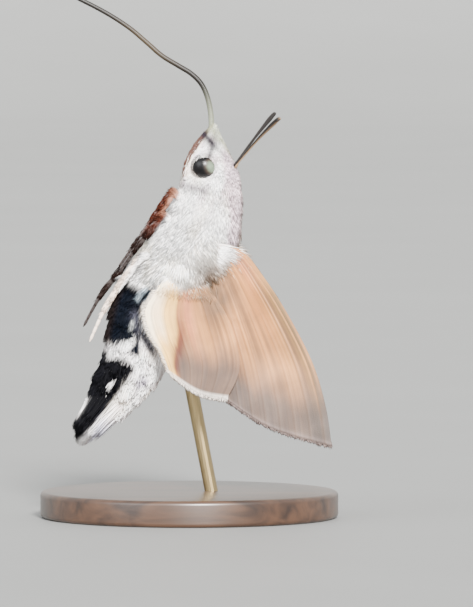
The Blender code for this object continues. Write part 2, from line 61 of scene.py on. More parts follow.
# Trunk, nose to tail: place along the body, height of the back and of the belly, half width
TRUNK = (
    (8.9, -1.25, -2.15, 0.45), (7.8, 0.1, -2.55, 1.15), (6.3, 1.75, -2.9, 2.1),
    (4.7, 2.7, -3, 2.35), (3.1, 3.4, -2.85, 2.7), (1, 4.08, -2.95, 3.6),
    (-1.5, 4.3, -3.45, 4), (-4, 3.85, -3.95, 3.75), (-6, 3.2, -4.25, 3.25),
    (-8.5, 2.95, -4.4, 3.3), (-11, 2.75, -3.95, 3.35), (-13.5, 2.4, -3.25, 3.05),
    (-15.5, 1.85, -3.2, 2.55), (-17.8, 1, -3, 1.9),
)
TRUNK_ROUNDNESS = 2.15
TRUNK_FRONT, WAIST, TRUNK_REAR, TAIL_CORE_END = 8.85, -5.8, -17.7, -19.7
SEGMENTS, SEGMENT_STEP, SEGMENTS_END = 6, 0.045, -17.4  # of the abdomen
SKIN_ROWS, SKIN_COLUMNS = 220, 96
ROOT_ROWS, ROOT_COLUMNS = 160, 120  # the grid from which the fur's roots are drawn
# How deep the coat is, by place along the body
COAT_DEPTH = ((-20, 0.3), (-15, 0.3), (-6, 0.32), (-2, 0.42), (3, 0.36), (6, 0.22),
              (8.9, 0.12))
# A painted shadow line on the flank, behind the pale blue spot and then beside the hindwing's rear
# edge
FLANK_SHADOW_LINE = ((-6.2, -1.6), (-7.7, -2), (-9, -2), (-9.95, -1.35), (-11.3, 0.6))

# Tufts on the flank: place along the body, length
FLANK_TUFTS = ((-9, 2), (-11.1, 2.3), (-13.1, 2.5), (-15, 2.5))
TAIL_TIP_X, TAIL_TIP_Z, TAIL_SPREAD, TAIL_TAPER = -22.1, -1.95, 1.62, 0.52

EYE_RADIUS = 1.2
EYE_PLACE = (5.75, 1.42, -1.55)
EYE_ROWS, EYE_COLUMNS = 48, 64

# A palp, root to tip: place along the body, distance from the middle, height, radius
PALP = (
    (3.95, 0.95, -2.55, 0.35), (4.6, 0.98, -2.68, 0.62), (5.9, 0.98, -2.6, 0.72),
    (7.3, 0.9, -2.42, 0.68), (8.5, 0.78, -2.2, 0.52), (9.2, 0.68, -2.12, 0.3),
)
PALP_COAT = 0.12
PALP_RINGS, PALP_SIDES = 40, 28
PALP_COAT_RINGS = 60

ANTENNA_LENGTH = 9.1
ANTENNA_ROOT = (6.7, 0.8, 1)
ANTENNA_SPREAD, ANTENNA_LIFT = math.radians(45), math.radians(17)
ANTENNA_RADII = ((0, 0.22), (0.04, 0.22), (0.07, 0.11), (0.45, 0.13), (0.8, 0.22), (0.93, 0.18),
                 (1, 0.04))
ANTENNA_BOW, ANTENNA_HOOK = 0.5, 0.5
ANTENNA_JOINTS, ANTENNA_SIDES = 60, 20

PROBOSCIS_LINE = (
    (8.2, -1.9), (9.6, -2.45), (10.7, -3.05), (11.75, -3.85), (12.5, -4.75),
    (12.95, -5.9), (13.15, -7.3), (13.4, -9), (13.95, -10.7), (14.55, -12.7),
    (14.95, -15.1), (15.15, -17.8), (15.25, -20.6), (15.2, -23.4), (14.95, -26.2),
)
PROBOSCIS_RADII = ((0, 0.29), (0.97, 0.2), (1, 0.1))
PROBOSCIS_RINGS, PROBOSCIS_SIDES, PROBOSCIS_JOINTS = 720, 16, 170

WING_SLOPE = math.tan(math.radians(18))
WING_TIP_BEND = 0.9
FOREWING_ROOT_Y, HINDWING_ROOT_Y, HINDWING_PLANE_Y = 3.3, 2.9, 4.2
FOREWING = {
    "front": ((-0.25, 1.75), (0.2, 4.4), (-1.55, 7.75), (-3.75, 10.95), (-6.6, 14.3),
              (-9.7, 16.85), (-12.6, 18.6)),
    "rear": ((-2.45, 1.55), (-4.3, 2.9), (-6.6, 4.15), (-9.6, 6.05), (-12.5, 7.95)),
    "outer": ((-12.6, 18.6), (-13.05, 15.8), (-13.3, 13.3), (-13.1, 10.95), (-12.5, 7.95)),
    "veins": (0.05, 0.17, 0.3, 0.43, 0.56, 0.69, 0.82, 0.94),
    "late_veins": (2, 3, 4, 5),
    "cell_end": 0.42,
}
HINDWING = {
    "front": ((-3.15, 1.05), (-4.2, 3.3), (-6.3, 6.2), (-9.4, 8.35), (-12.5, 8.4)),
    "rear": ((-3.6, -0.2), (-5, -0.9), (-6.4, -1.25), (-8.2, -1.4), (-9.85, -0.2),
             (-11.05, 1.45), (-12.45, 2.85)),
    "outer": ((-12.5, 8.4), (-13.05, 5.8), (-12.45, 2.85)),
    "veins": (0.07, 0.25, 0.43, 0.6, 0.77, 0.93),
    "late_veins": (2, 3),
    "cell_end": 0.45,
}
# The dark lines across the forewing's upper side: place, width, strength
UPPER_LINES = ((0.22, 0.022, 0.5), (0.36, 0.02, 0.95), (0.64, 0.018, 0.9), (0.7, 0.014, 0.5))
WING_MEMBRANE, WING_PLEAT, VEIN_BUMP = 0.1, 0.01, 0.03
WING_ROWS, WING_COLUMNS = 90, 150

LEG_LINES = {
    "leg_front": ((2.15, 1.2, -2.05), (2.3, 1.45, -3.02), (1.2, 1.2, -3.42),
                  (-0.6, 0.75, -3.86), (-2.6, 0.52, -4.32)),
    "leg_middle": ((-0.05, 1.75, -2.15), (0.1, 2.15, -3.14), (-1.2, 1.85, -3.6),
                   (-3.4, 1.5, -4.24), (-6, 1.15, -4.8)),
    "leg_hind": ((-3.7, 2.1, -2.55), (-4.1, 2.6, -3.5), (-6.6, 2.4, -4.2),
                 (-9.6, 2, -4.7), (-12.9, 1.7, -4.78)),
}
# How far the right feet stray from the left ones' mirror image: along the body and in height
LEG_STRAY = {"leg_front": (0.2, 0), "leg_middle": (0.2, -0.15), "leg_hind": (0.85, -0.95)}
LEG_RADII = ((0, 0.3), (0.12, 0.34), (0.2, 0.24), (0.24, 0.34), (0.42, 0.33), (0.47, 0.2),
             (0.52, 0.28), (0.66, 0.25), (0.7, 0.17), (0.96, 0.14), (1, 0.04))
LEG_SCALES = ((0, 0.7), (0.3, 0.75), (0.66, 0.5), (0.72, 0.25), (1, 0.18))  # their lengths
LEG_RINGS, LEG_SIDES = 160, 16
LEG_JOINTS = (0.7, 0.78, 0.85, 0.92)  # the joints of the foot, as shares of the leg's length
SPURS = ((0.6, 1), (0.66, -1))  # place along the leg, side
SPUR_RINGS, SPUR_SIDES = 8, 8

BASE_RADIUS, BASE_THICKNESS, BASE_BEVEL = 13.5, 2.4, 0.4
BASE_SIDES = 160

PHOTO_WIDTH, PHOTO_HEIGHT = 473, 607
METRES_PER_PIXEL = 0.0902468 / 1000
THORAX_PIXEL = (195, 232)  # where the moth's origin shows in the photo
CAMERA_AZIMUTH, CAMERA_ELEVATION = math.radians(-1.5), math.radians(3)
CAMERA_DISTANCE = 0.9
CAMERA_AIM_Y = -0.003  # the moth's near flank
SENSOR = 36

# The studio's floor in metres, as seen by the camera, and how much of it is flat and how much bent
FLOOR_FRONT, FLOOR_DEPTH, FLOOR_REACH, BEND_RADIUS, WALL_HEIGHT = -1.2, 2.2, 2.5, 0.5, 2
FLAT_SHARE, BENT_SHARE = 0.45, 0.2
FLOOR_ROWS, FLOOR_COLUMNS = 40, 12


def srgb(red, green, blue):
    """A linear colour from its 0 to 255 display values."""
    value = np.array([red, green, blue]) / 255
    return np.where(value <= 0.04045, value / 12.92, ((value + 0.055) / 1.055) ** 2.4)


WHITE = srgb(253, 251, 250)
CREAM = srgb(248, 234, 208)
LAVENDER = srgb(216, 194, 204)
BACK_BROWN = srgb(128, 112, 94)
SNOUT_GREEN = srgb(142, 146, 122)
CREASE_SHADE_GREY = srgb(120, 112, 118)
PALP_BEIGE = srgb(170, 156, 138)
ROOT_GREY = srgb(98, 78, 60)
SHADE_GREY = srgb(54, 54, 64)
STRIPE_GREY = srgb(36, 32, 40)
NAVY = srgb(2, 6, 16)
BLACK = srgb(4, 4, 8)
PALE_BLUE = srgb(196, 214, 226)
PALE_GREY = srgb(176, 180, 180)
MAUVE_SPOT = srgb(150, 142, 160)
TAIL_SHEEN_LAVENDER = srgb(184, 186, 210)
RUST = srgb(66, 28, 16)
LEG_DARK = srgb(14, 8, 6)
LEG_PALE = srgb(226, 206, 190)
LEG_PINK = srgb(156, 110, 90)
EYE_BLACK = srgb(6, 5, 6)
EYE_REFLECTION_BROWN = srgb(58, 48, 42)
EYE_REFLECTION_GREEN = srgb(108, 122, 104)
ANTENNA_DARK = srgb(20, 15, 13)
ANTENNA_TIP_AND_HIGHLIGHT = srgb(170, 138, 104)
PROBOSCIS_DARK = srgb(18, 15, 12)
PROBOSCIS_GREEN = srgb(120, 124, 106)
PROBOSCIS_HIGHLIGHT_BROWN = srgb(70, 58, 40)
PEACH = srgb(164, 110, 62)
PALE_TAN = srgb(188, 134, 88)
ORANGE_TAN = srgb(148, 90, 40)
OLIVE_TAN = srgb(88, 70, 38)
PINK = srgb(178, 106, 76)
STREAK_BROWN = srgb(84, 60, 42)
FOLD_BROWN = srgb(82, 30, 12)
MARGIN_MAUVE = srgb(66, 60, 58)
FRINGE = srgb(214, 204, 194)
PALE_MAUVE = srgb(112, 98, 94)
YELLOW_CREAM = srgb(216, 170, 92)
UPPER_GREY = srgb(110, 98, 86)
UPPER_LINE = srgb(46, 38, 34)
UPPER_ORANGE = srgb(206, 122, 48)
UPPER_MARGIN = srgb(92, 60, 40)

# Spots on the abdomen: colour, strength, place along the body, height, half length, half height,
# turn in degrees
SPOTS = (
    (PALE_BLUE, 1, -6.95, -1.95, 0.95, 0.55, 25),
    (PALE_GREY, 0.9, -9.75, -1.75, 0.75, 0.36, 15),
    (WHITE, 1, -12.35, -1.9, 1.45, 0.5, 35),
    (WHITE, 0.9, -15.85, -1.55, 0.42, 0.26, 15),
    (MAUVE_SPOT, 0.8, -14.4, 0.95, 0.62, 0.55, 0),
    (WHITE, 0.95, -18.6, -3.2, 1.1, 0.42, 0),
)


def ramp(low, high, value):
    """From 0 to 1, with soft ends, as the value goes from low to high."""
    share = np.clip((value - low) / (high - low), 0, 1)
    return share * share * (3 - 2 * share)


def bell(value, width):
    return np.exp(-((value / width) ** 2))


def layered(colours, *layers):
    """The colours with others laid over them in turn, each by a share for each point."""
    for over, share in layers:
        colours = colours + (over - colours) * np.clip(share, 0, 1).reshape(-1, 1)
    return colours


LATTICE_SIZE = 32
LATTICE = np.random.default_rng(SEED).random((LATTICE_SIZE,) * 3)
LATTICE_START = 500  # keeps every place in the lattice above zero


def noise(points, scale):
    """Smooth values from 0 to 1, the same each run, whose lumps are scale across."""
    where = np.asarray(points, dtype=float) / scale + LATTICE_START
    cell = np.floor(where).astype(int)
    share = where - cell
    share = share * share * (3 - 2 * share)
    total = np.zeros(len(where))
    for step in np.ndindex(2, 2, 2):
        x, y, z = np.where(step, share, 1 - share).T
        total += x * y * z * LATTICE[tuple(((cell + step) % LATTICE_SIZE).T)]
    return total


def turns(count):
    """That many angles, evenly round."""
    return FULL_TURN * np.arange(count) / count


def xyz(*values):
    """Rows of points from their columns."""
    return np.stack(values, axis=-1)


def unit(vectors):
    return vectors / np.maximum(np.linalg.norm(vectors, axis=-1, keepdims=True), 1e-9)


def square_to(axes, vectors):
    """The vectors' directions after they are made square to the axes."""
    vectors = np.zeros_like(axes) + vectors
    return unit(vectors - axes * np.einsum("ij,ij->i", vectors, axes)[:, None])


def turned(ahead, aside, angle):
    """Directions turned from one way towards another, square to it, by an angle for each."""
    return ahead * np.cos(angle)[:, None] + aside * np.sin(angle)[:, None]


def mirrored(points, side):
    return np.asarray(points, dtype=float) * (1, side, 1)


def smooth_line(points, per_span=10):
    """Closely spaced places on a smooth curve through the points."""
    points = np.array(points, dtype=float)
    points = np.concatenate([points[:1], points, points[-1:]])
    line = []
    for before, start, end, after in zip(points, points[1:], points[2:], points[3:]):
        for t in np.arange(per_span) / per_span:
            line.append(
                start
                + (end - before) * (t / 2)
                + (2 * before - 5 * start + 4 * end - after) * (t * t / 2)
                + (3 * start - before - 3 * end + after) * (t**3 / 2)
            )
    return np.array(line + [points[-1]])


def read_columns(columns, places, values):
    """The rows of values, read at those places between the places of the rows."""
    return xyz(*(np.interp(places, columns, column) for column in values.T))


def place_on(line, shares):
    """The places at those shares of the line's length."""
    run = np.append(0, np.cumsum(np.linalg.norm(np.diff(line, axis=0), axis=1)))
    return read_columns(run, np.asarray(shares) * run[-1], line)


def read_table(table, shares):
    return np.interp(shares, *np.array(table).T)


TRUNK_LINE = smooth_line(TRUNK)[::-1]


def trunk_at(x):
    """The trunk's middle height, half height and half width at places along the body."""
    back, belly, half_width = (np.interp(x, TRUNK_LINE[:, 0], TRUNK_LINE[:, i]) for i in (1, 2, 3))
    return (back + belly) / 2, (back - belly) / 2, half_width


def trunk_axis(x):
    return xyz(x, 0 * x, trunk_at(x)[0])


def trunk_point(x, angle, inset=0):
    """Places on the trunk. The angle starts at the left side and turns over the back."""
    middle, half_height, half_width = trunk_at(x)
    in_abdomen = ramp(WAIST + 0.2, WAIST - 0.2, x)
    in_abdomen = in_abdomen * ramp(SEGMENTS_END - 0.2, SEGMENTS_END + 0.2, x)
    segment = ((WAIST - x) / (WAIST - SEGMENTS_END) * SEGMENTS) % 1
    scale = 1 + SEGMENT_STEP * (segment - 0.5) * in_abdomen
    behind = np.clip((TRUNK_REAR - x) / (TRUNK_REAR - TAIL_CORE_END), 0, 1)
    scale = scale * (1 - 0.5 * behind**2)
    across, upward = (
        np.sign(way) * np.abs(way) ** (2 / TRUNK_ROUNDNESS)
        * np.maximum(half * scale - inset, 0.05)
        for way, half in ((np.cos(angle), half_width), (np.sin(angle), half_height))
    )
    return xyz(x, across, middle + upward)


def trunk_uv(x, angle):
    return xyz(0.02 + 0.96 * (TRUNK_FRONT - x) / (TRUNK_FRONT - TAIL_CORE_END),
               0.02 + 0.6 * ((angle / FULL_TURN) % 1))


def eye_gap(points):
    """How far each point is from the nearer eye's surface."""
    gaps = [np.linalg.norm(points - mirrored(EYE_PLACE, side), axis=1) for _, side in SIDES]
    return np.minimum(*gaps) - EYE_RADIUS


def gap_from_line(x, z, line):
    """How far places in side view are from a line of straight pieces."""
    gap = np.inf
    for (x0, z0), (x1, z1) in zip(line, line[1:]):
        dx, dz = x1 - x0, z1 - z0
        share = np.clip(((x - x0) * dx + (z - z0) * dz) / (dx * dx + dz * dz), 0, 1)
        gap = np.minimum(gap, np.hypot(x - x0 - share * dx, z - z0 - share * dz))
    return gap


def grid_faces(rows, columns, wrap):
    """The faces of a grid of points, row after row, whose rows may close on themselves."""
    row, column = np.indices((rows - 1, columns if wrap else columns - 1))
    a, b = row * columns + column, row * columns + (column + 1) % columns
    c, d = b + columns, a + columns
    return np.concatenate([xyz(a, b, c), xyz(a, c, d)]).reshape(-1, 3)


def outward(points, faces):
    """The faces of a closed shape, turned over if they face in."""
    a, b, c = (points[faces[:, i]] for i in range(3))
    volume = np.einsum("ij,ij->i", a, np.cross(b, c)).sum()
    return faces if volume > 0 else faces[:, ::-1]


def closed_tube(rings):
    """Points and faces of a skin over rings of points, closed at both ends."""
    rows, columns, _ = rings.shape
    points = np.concatenate([rings.reshape(-1, 3), [rings[0].mean(0)], [rings[-1].mean(0)]])
    around, end = np.arange(columns), rows * columns
    ahead, low = (around + 1) % columns, end - columns
    faces = np.concatenate([
        grid_faces(rows, columns, True), xyz(ahead, around, np.full(columns, end)),
        xyz(around + low, ahead + low, np.full(columns, end + 1)),
    ])
    return points, outward(points, faces)


def tube_shares(rings, sides):
    """How far along and how far round a closed tube each of its points is."""
    return (np.append(np.repeat(np.linspace(0, 1, rings), sides), [0, 1]),
            np.append(np.tile(np.arange(sides) / sides, rings), [0, 0]))


def joined(shapes):
    """The points and faces of several shapes as one."""
    starts = np.cumsum([0] + [len(points) for points, _ in shapes])
    return (np.concatenate([points for points, _ in shapes]),
            np.concatenate([faces + start for (_, faces), start in zip(shapes, starts)]))


def ring_frames(line, upright):
    """A line's heading and two directions square to it, at each of its places."""
    heading = unit(np.gradient(line, axis=0))
    aside = unit(np.cross(heading, np.array(upright, dtype=float)))
    return heading, aside, np.cross(aside, heading)


def tube(line, radii, sides, upright=(0, 1, 0)):
    """A closed tube round a line, with a radius for each place or for each point."""
    _, aside, over = ring_frames(line, upright)
    angles = turns(sides)[:, None]
    reach = np.cos(angles) * aside[:, None] + np.sin(angles) * over[:, None]
    return closed_tube(line[:, None] + reach * radii.reshape(len(line), -1, 1))


def add_piece(name, shape, material, slot, nodes=(), colours=None, uv=None, in_body=True):
    """A smooth mesh from arrays, in the material and riding on the model."""
    points, faces = shape
    data = bpy.data.meshes.new(name)
    world = points @ POSE[:3, :3].T + POSE[:3, 3] if in_body else points * 0.001
    data.vertices.add(len(world))
    data.vertices.foreach_set("co", world.astype(np.float32).ravel())
    data.loops.add(faces.size)
    data.loops.foreach_set("vertex_index", faces.astype(np.int32).ravel())
    data.polygons.add(len(faces))
    data.polygons.foreach_set("loop_start", np.arange(0, faces.size, 3, dtype=np.int32))
    data.update(calc_edges=True)
    if colours is not None:
        paint = data.color_attributes.new("paint", "FLOAT_COLOR", "POINT")
        full = np.append(np.clip(colours, 0, 1), np.ones((len(colours), 1)), axis=1)
        paint.data.foreach_set("color", full.astype(np.float32).ravel())
    if uv is not None:
        layer = data.uv_layers.new(name="OFBake")
        layer.data.foreach_set("uv", uv[faces.ravel()].astype(np.float32).ravel())
    data.shade_smooth()
    data.materials.append(MATERIALS[material])
    made = add_object(name, data)
    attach(made, "root")
    if nodes:
        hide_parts(*nodes)
    return made


def node(tree, kind, output, inputs, **settings):
    """The output of a new shader node, whose inputs are set or linked."""
    made = tree.nodes.new("ShaderNode" + kind)
    for key, value in settings.items():
        setattr(made, key, value)
    for key, value in inputs.items():
        if isinstance(value, bpy.types.NodeSocket):
            tree.links.new(value, made.inputs[key])
        else:
            made.inputs[key].default_value = value
    return made.outputs[output]


def mapped(tree, vector, scale, rotation=(0, 0, 0)):
    return node(tree, "Mapping", "Vector",
                {"Vector": vector, "Rotation": rotation, "Scale": scale})


def painted(tree, vector, scale, variation):
    """The painted markings, lighter and darker by a fine noise, and that noise."""
    grain = node(tree, "TexNoise", "Fac",
                 {"Vector": vector, "Scale": scale, "Detail": 4, "Roughness": 0.6})
    shade = node(tree, "MapRange", "Result",
                 {"Value": grain, "From Min": 0.3, "From Max": 0.7,
                  "To Min": 1 - variation, "To Max": 1 + variation})
    paint = node(tree, "Attribute", "Color", {}, attribute_name="paint")
    return node(tree, "VectorMath", "Vector", {0: paint, 1: shade}, operation="MULTIPLY"), grain


def body_coordinates(tree, stretch=(1, 1, 1)):
    """Coordinates in millimetres in the moth's own frame, stretched along its axes."""
    place = node(tree, "TexCoord", "Object", {})
    return mapped(tree, mapped(tree, place, (1000,) * 3, (0, -BODY_PITCH, 0)), stretch)


def on_body(scale, variation, stretch=(1, 1, 1)):
    """A pattern: painted markings with a noise that follows the body."""
    return lambda tree: painted(tree, body_coordinates(tree, stretch), scale, variation)


def wing_pattern(tree):
    """Streaks from root to edge, and rows of scales as the height."""
    place = node(tree, "UVMap", "UV", {}, uv_map="OFBake")
    scales = node(tree, "TexVoronoi", "Distance",
                  {"Vector": mapped(tree, place, (170, 260, 1)), "Scale": 1, "Randomness": 0.55})
    colour, grain = painted(tree, mapped(tree, place, (110, 5, 1)), 1, 0.13)
    return colour, node(tree, "Math", "Value", {0: scales, 1: grain}, operation="ADD")


def eye_pattern(tree):
    """Facets as the height."""
    place = body_coordinates(tree)
    facets = node(tree, "TexVoronoi", "Distance",
                  {"Vector": place, "Scale": 11, "Randomness": 0.15})
    return painted(tree, place, 2.5, 0.25)[0], facets


def grained(stretch, low, high, ends=(0, 1), **settings):
    """A pattern: a grain between two colours, stretched along the world's axes."""
    def pattern(tree):
        place = mapped(tree, node(tree, "TexCoord", "Object", {}), stretch)
        grain = node(tree, "TexNoise", "Fac", {"Vector": place, "Scale": 1, **settings})
        colour = node(tree, "ValToRGB", "Color", {"Fac": grain})
        for stop, at, tone in zip(colour.node.color_ramp.elements, ends, (low, high)):
            stop.position, stop.color = at, (*tone, 1)
        return colour, grain
    return pattern


def new_material(name, roughness, pattern, bump=None, **settings):
    """A material whose colour and height are a pattern's, with constants set on its shader.

    The bump is the height's strength and its reach in metres.
    """
    made = bpy.data.materials.new(name)
    made.use_nodes = True
    tree = made.node_tree
    shader = tree.nodes["Principled BSDF"]
    shader.inputs["Roughness"].default_value = roughness
    for socket, value in settings.items():
        shader.inputs[socket.replace("_", " ")].default_value = value
    colour, height = pattern(tree)
    tree.links.new(colour, shader.inputs["Base Color"])
    if bump:
        normal = node(tree, "Bump", "Normal",
                      {"Strength": bump[0], "Distance": bump[1], "Height": height})
        tree.links.new(normal, shader.inputs["Normal"])
    return made


MATERIALS = {
    "skin": new_material("moth_skin", 0.85, on_body(9, 0.12, (0.35, 1, 1)), (0.6, 0.00006),
                         Sheen_Weight=0.2, Sheen_Roughness=0.5),
    "fur": new_material("moth_fur", 0.7, on_body(3.5, 0.07), Specular_IOR_Level=0.08),
    "wing": new_material("moth_wing", 0.62, wing_pattern, (0.5, 0.00003),
                         Specular_IOR_Level=0.25),
    "eye": new_material("moth_eye", 0.3, eye_pattern, (0.35, 0.00003), Coat_Weight=0.12,
                        Coat_Roughness=0.2, Specular_IOR_Level=0.2),
    "horn": new_material("moth_horn", 0.42, on_body(6, 0.15), Specular_IOR_Level=0.3),
    "wood": new_material(
        "stand_wood", 0.38,
        grained((55, 700, 700), (0.014, 0.0065, 0.0035), (0.06, 0.028, 0.014), (0.32, 0.7),
                Detail=8, Distortion=0.6),
        (0.15, 0.00008), Coat_Weight=0.25, Coat_Roughness=0.25),
    "brass": new_material(
        "stand_brass", 0.36,
        grained((9000, 9000, 260), (0.22, 0.16, 0.08), (0.42, 0.32, 0.16), Detail=3),
        (0.1, 0.00002), Metallic=1),
    "floor": new_material("studio_floor", 0.6, grained(
        (30, 30, 30), (0.17, 0.173, 0.17), (0.192, 0.195, 0.192))),
}


def snout_layers(points):
    """The snout's grey-green tip, and the dark stripe behind it, which is faint above."""
    x, _, z = points.T
    ahead = (x - 8) * 0.91 + (z + 1.5) * 0.41
    low = ramp(-0.7, -1.7, z)
    mottle = 0.55 + 0.45 * noise(points, 0.5)
    return ((SNOUT_GREEN, mottle * ramp(-0.1, 0.6, ahead)),
            (STRIPE_GREY, (0.4 + 0.6 * low) * bell(ahead + 0.12, 0.22 + 0.2 * low)))


def spot_layers(x, z):
    for colour, strength, at_x, at_z, long, high, turn in SPOTS:
        cosine, sine = math.cos(math.radians(turn)), math.sin(math.radians(turn))
        along = ((x - at_x) * cosine + (z - at_z) * sine) / long
        over = (-(x - at_x) * sine + (z - at_z) * cosine) / high
        yield colour, strength * ramp(1.2, 0.7, np.hypot(along, over))


def paint_trunk(points):
    """The markings of the body, worked out from where a point is."""
    x, y, z = points.T
    middle, half_height, half_width = trunk_at(x)
    upward, aside = (z - middle) / half_height, np.abs(y) / half_width
    over_saddle = z - np.interp(x, [-6, -0.4, 2.2, 5.4, 7.5], [3.1, 3.1, 2.4, 0.6, -0.6])
    on_back = ramp(0.84, 1, upward) * ramp(0.6, 0.25, aside)
    on_back = on_back * (1 - 0.6 * ramp(-7.5, -10, x))
    locks = ramp(0.45, 0.8, noise(points * (0.5, 1, 1), 0.45)) * ramp(0.5, 3.5, x)
    crease = np.hypot(x - np.interp(z, [-2.4, -0.7], [3.45, 3.75]), np.maximum(z + 0.7, 0) * 0.6)
    eye_ring = np.hypot(x - EYE_PLACE[0], z - EYE_PLACE[2]) - 1.1
    eye_line = np.hypot(np.maximum(np.abs(x - 7) - 0.55, 0), z + 1.5)
    rear = ramp(-6.2, -7, x)
    first = ramp(0.25, -0.25, z + 2.5 + 0.432 * (x + 6.8))
    first = first * ramp(-6.3, -6.9, x) * ramp(-12.7, -12.1, x)
    edge = np.interp(x, [-21.5, -20, -17.3, -15.3, -13.6, -12.9],
                     [-2.2, -1.6, -0.75, -0.45, 0.05, -1.2])
    second = ramp(0.3, -0.3, z - edge) * ramp(-12.8, -13.4, x)
    below = ramp(-0.75, -0.95, upward) * rear * (1 - second)
    return layered(
        WHITE,
        (CREAM, 0.55 * ramp(0.45, 0.8, noise(points, 1.7))),
        # The pale grey saddle over the head and thorax, and the brown middle of the back
        (LAVENDER, 0.85 * ramp(-0.35, 0.45, over_saddle) * ramp(-7, -5, x)),
        (BACK_BROWN, (0.4 + 0.5 * ramp(5, 0, x)) * on_back),
        (LAVENDER * 0.8, 0.55 * locks),
        # The head: the snout, painted shade in the crease behind the palps and round the eye, and
        # dark ahead of the eye
        *snout_layers(points),
        (CREASE_SHADE_GREY, 0.95 * bell(crease, 0.36) * ramp(0.3, -0.6, z)),
        (CREASE_SHADE_GREY, 0.2 * bell(eye_ring, 0.22) * ramp(0.4, 0.6, aside)),
        (STRIPE_GREY, 0.8 * bell(eye_line, 0.26)),
        # The abdomen: two blue-black patches low on the flank, with pale spots and tufts
        (LAVENDER, 0.22 * ramp(0.35, 0.75, noise(points, 0.9)) * rear),
        (NAVY, first),
        (BLACK, second),
        (LEG_DARK * 2, 0.8 * below),
        *spot_layers(x, z),
        # Painted shadow: a dark line along the flank, navy behind the pale blue spot and grey
        # beside the hindwing
        (NAVY, bell(gap_from_line(x, z, FLANK_SHADOW_LINE[:3]), 0.34)),
        (SHADE_GREY, bell(gap_from_line(x, z, FLANK_SHADOW_LINE[2:]), 0.42)),
        # Painted highlight: a lavender sheen on the upper side of the tail's black end
        (TAIL_SHEEN_LAVENDER, 0.75 * ramp(-18.2, -19.6, x) * ramp(-1.7, -1, z)),
    )


def speckled(colours, points, strength=0.1):
    """The colours with soft, fine variation, as fur and scales have."""
    shade = 1 + strength * (noise(points, 0.35) + noise(points, 1.1) - 1) * 2
    return colours * shade[:, None]


def palp_line(side, rings):
    line = smooth_line([row[:3] for row in PALP])
    radii = [(i / (len(PALP) - 1), row[3]) for i, row in enumerate(PALP)]
    shares = np.linspace(0, 1, rings)
    return mirrored(place_on(line, shares), side), read_table(radii, shares) - PALP_COAT


def make_skin():
    """One skin for the head, thorax, abdomen and tail, with the palps sunk into it."""
    x, turn = np.meshgrid(np.linspace(TRUNK_FRONT, TAIL_CORE_END, SKIN_ROWS),
                          turns(SKIN_COLUMNS), indexing="ij")
    rings = trunk_point(x, turn, read_table(COAT_DEPTH, x))
    lumps = noise(rings.reshape(-1, 3), 0.8).reshape(SKIN_ROWS, SKIN_COLUMNS, 1) - 0.5
    middle = rings.mean(axis=1, keepdims=True)
    shapes = [closed_tube(middle + (rings - middle) * (1 + 0.02 * lumps))]
    uv = [trunk_uv(x.ravel(), turn.ravel()), [[0.02, 0.3], [0.98, 0.3]]]
    along, around = tube_shares(PALP_RINGS, PALP_SIDES)
    for number, (_, side) in enumerate(SIDES):
        line, radii = palp_line(side, PALP_RINGS)
        shapes.append(tube(line, radii, PALP_SIDES, (0, 0, 1)))
        uv.append(xyz(0.05 + 0.4 * along + 0.45 * number, 0.7 + 0.2 * around))
    points, faces = joined(shapes)
    add_piece("moth_skin", (points, faces), "skin", "white_fur",
              ["head", "thorax", "abdomen", "tail_fan", "palp_left", "palp_right"],
              speckled(paint_trunk(points) * 0.9, points), np.concatenate(uv))


# A tuft's rings: share of its length, share of its width
HAIR = ((0, 0.8), (0.55, 1))
SCALE = ((0, 0.6), (0.45, 1), (0.85, 0.75))
HAIR_RINGS = len(HAIR) + 1  # with the tip
ROOT_DEPTH = 0.06  # how far below the surface it starts


def tufts(count):
    return int(count * QUICK_SHARE)


def seeded(number):
    return np.random.default_rng(SEED + number)


def tuft_mesh(roots, normals, lies, lengths, widths, lifts, profile, curl, flatness, rng):
    """The mesh of many thin tapered tufts, the places of their rings and each point's ring.

    Each tuft rises from the surface by its lift, bends back along its lie by its curl, and has a
    flat three-sided section that narrows by the profile's widths to its tip.
    """
    starts, spans = np.array(profile).T
    shares = np.append(starts, 1)
    aside = unit(np.cross(lies, normals))
    aside = unit(aside + normals * rng.normal(0, 0.25, (len(roots), 1)))
    centres = [roots - normals * ROOT_DEPTH]
    for before, share in zip(shares, shares[1:]):
        lift = lifts * (1 - curl * (before + share) / 2)
        way = turned(lies, normals, lift)
        centres.append(centres[-1] + way * (lengths * (share - before))[:, None])
    over = unit(np.cross(aside, unit(centres[-1] - centres[0])))
    corners = []
    for centre, span in zip(centres, spans):
        half = aside * (widths * span / 2)[:, None]
        ridge = over * (widths * span * flatness)[:, None]
        corners += [centre - half, centre + half, centre + ridge]
    points = np.stack(corners + [centres[-1]], axis=1)
    tip = 3 * len(spans)
    pattern = []
    for low in range(0, tip, 3):
        for j, k in ((low, low + 1), (low + 1, low + 2), (low + 2, low)):
            if low + 3 < tip:
                pattern += [(j, k, k + 3), (j, k + 3, j + 3)]
            else:
                pattern.append((j, k, tip))
    faces = (np.arange(len(roots)) * (tip + 1))[:, None, None] + np.array(pattern)
    shape = points.reshape(-1, 3), faces.reshape(-1, 3)
    return shape, np.stack(centres, axis=1), np.append(np.arange(tip) // 3, len(spans))


def combed(lies, normals, points, rng, swirl, scatter):
    """Lies turned in the surface by locks of hair that lean together, and by each hair's own."""
    turn = (noise(points, 0.9) - 0.5) * swirl + (noise(points, 0.35) - 0.5) * swirl * 0.8
    turn = turn + rng.normal(0, scatter, len(lies))
    return unit(turned(lies, np.cross(normals, lies), turn))


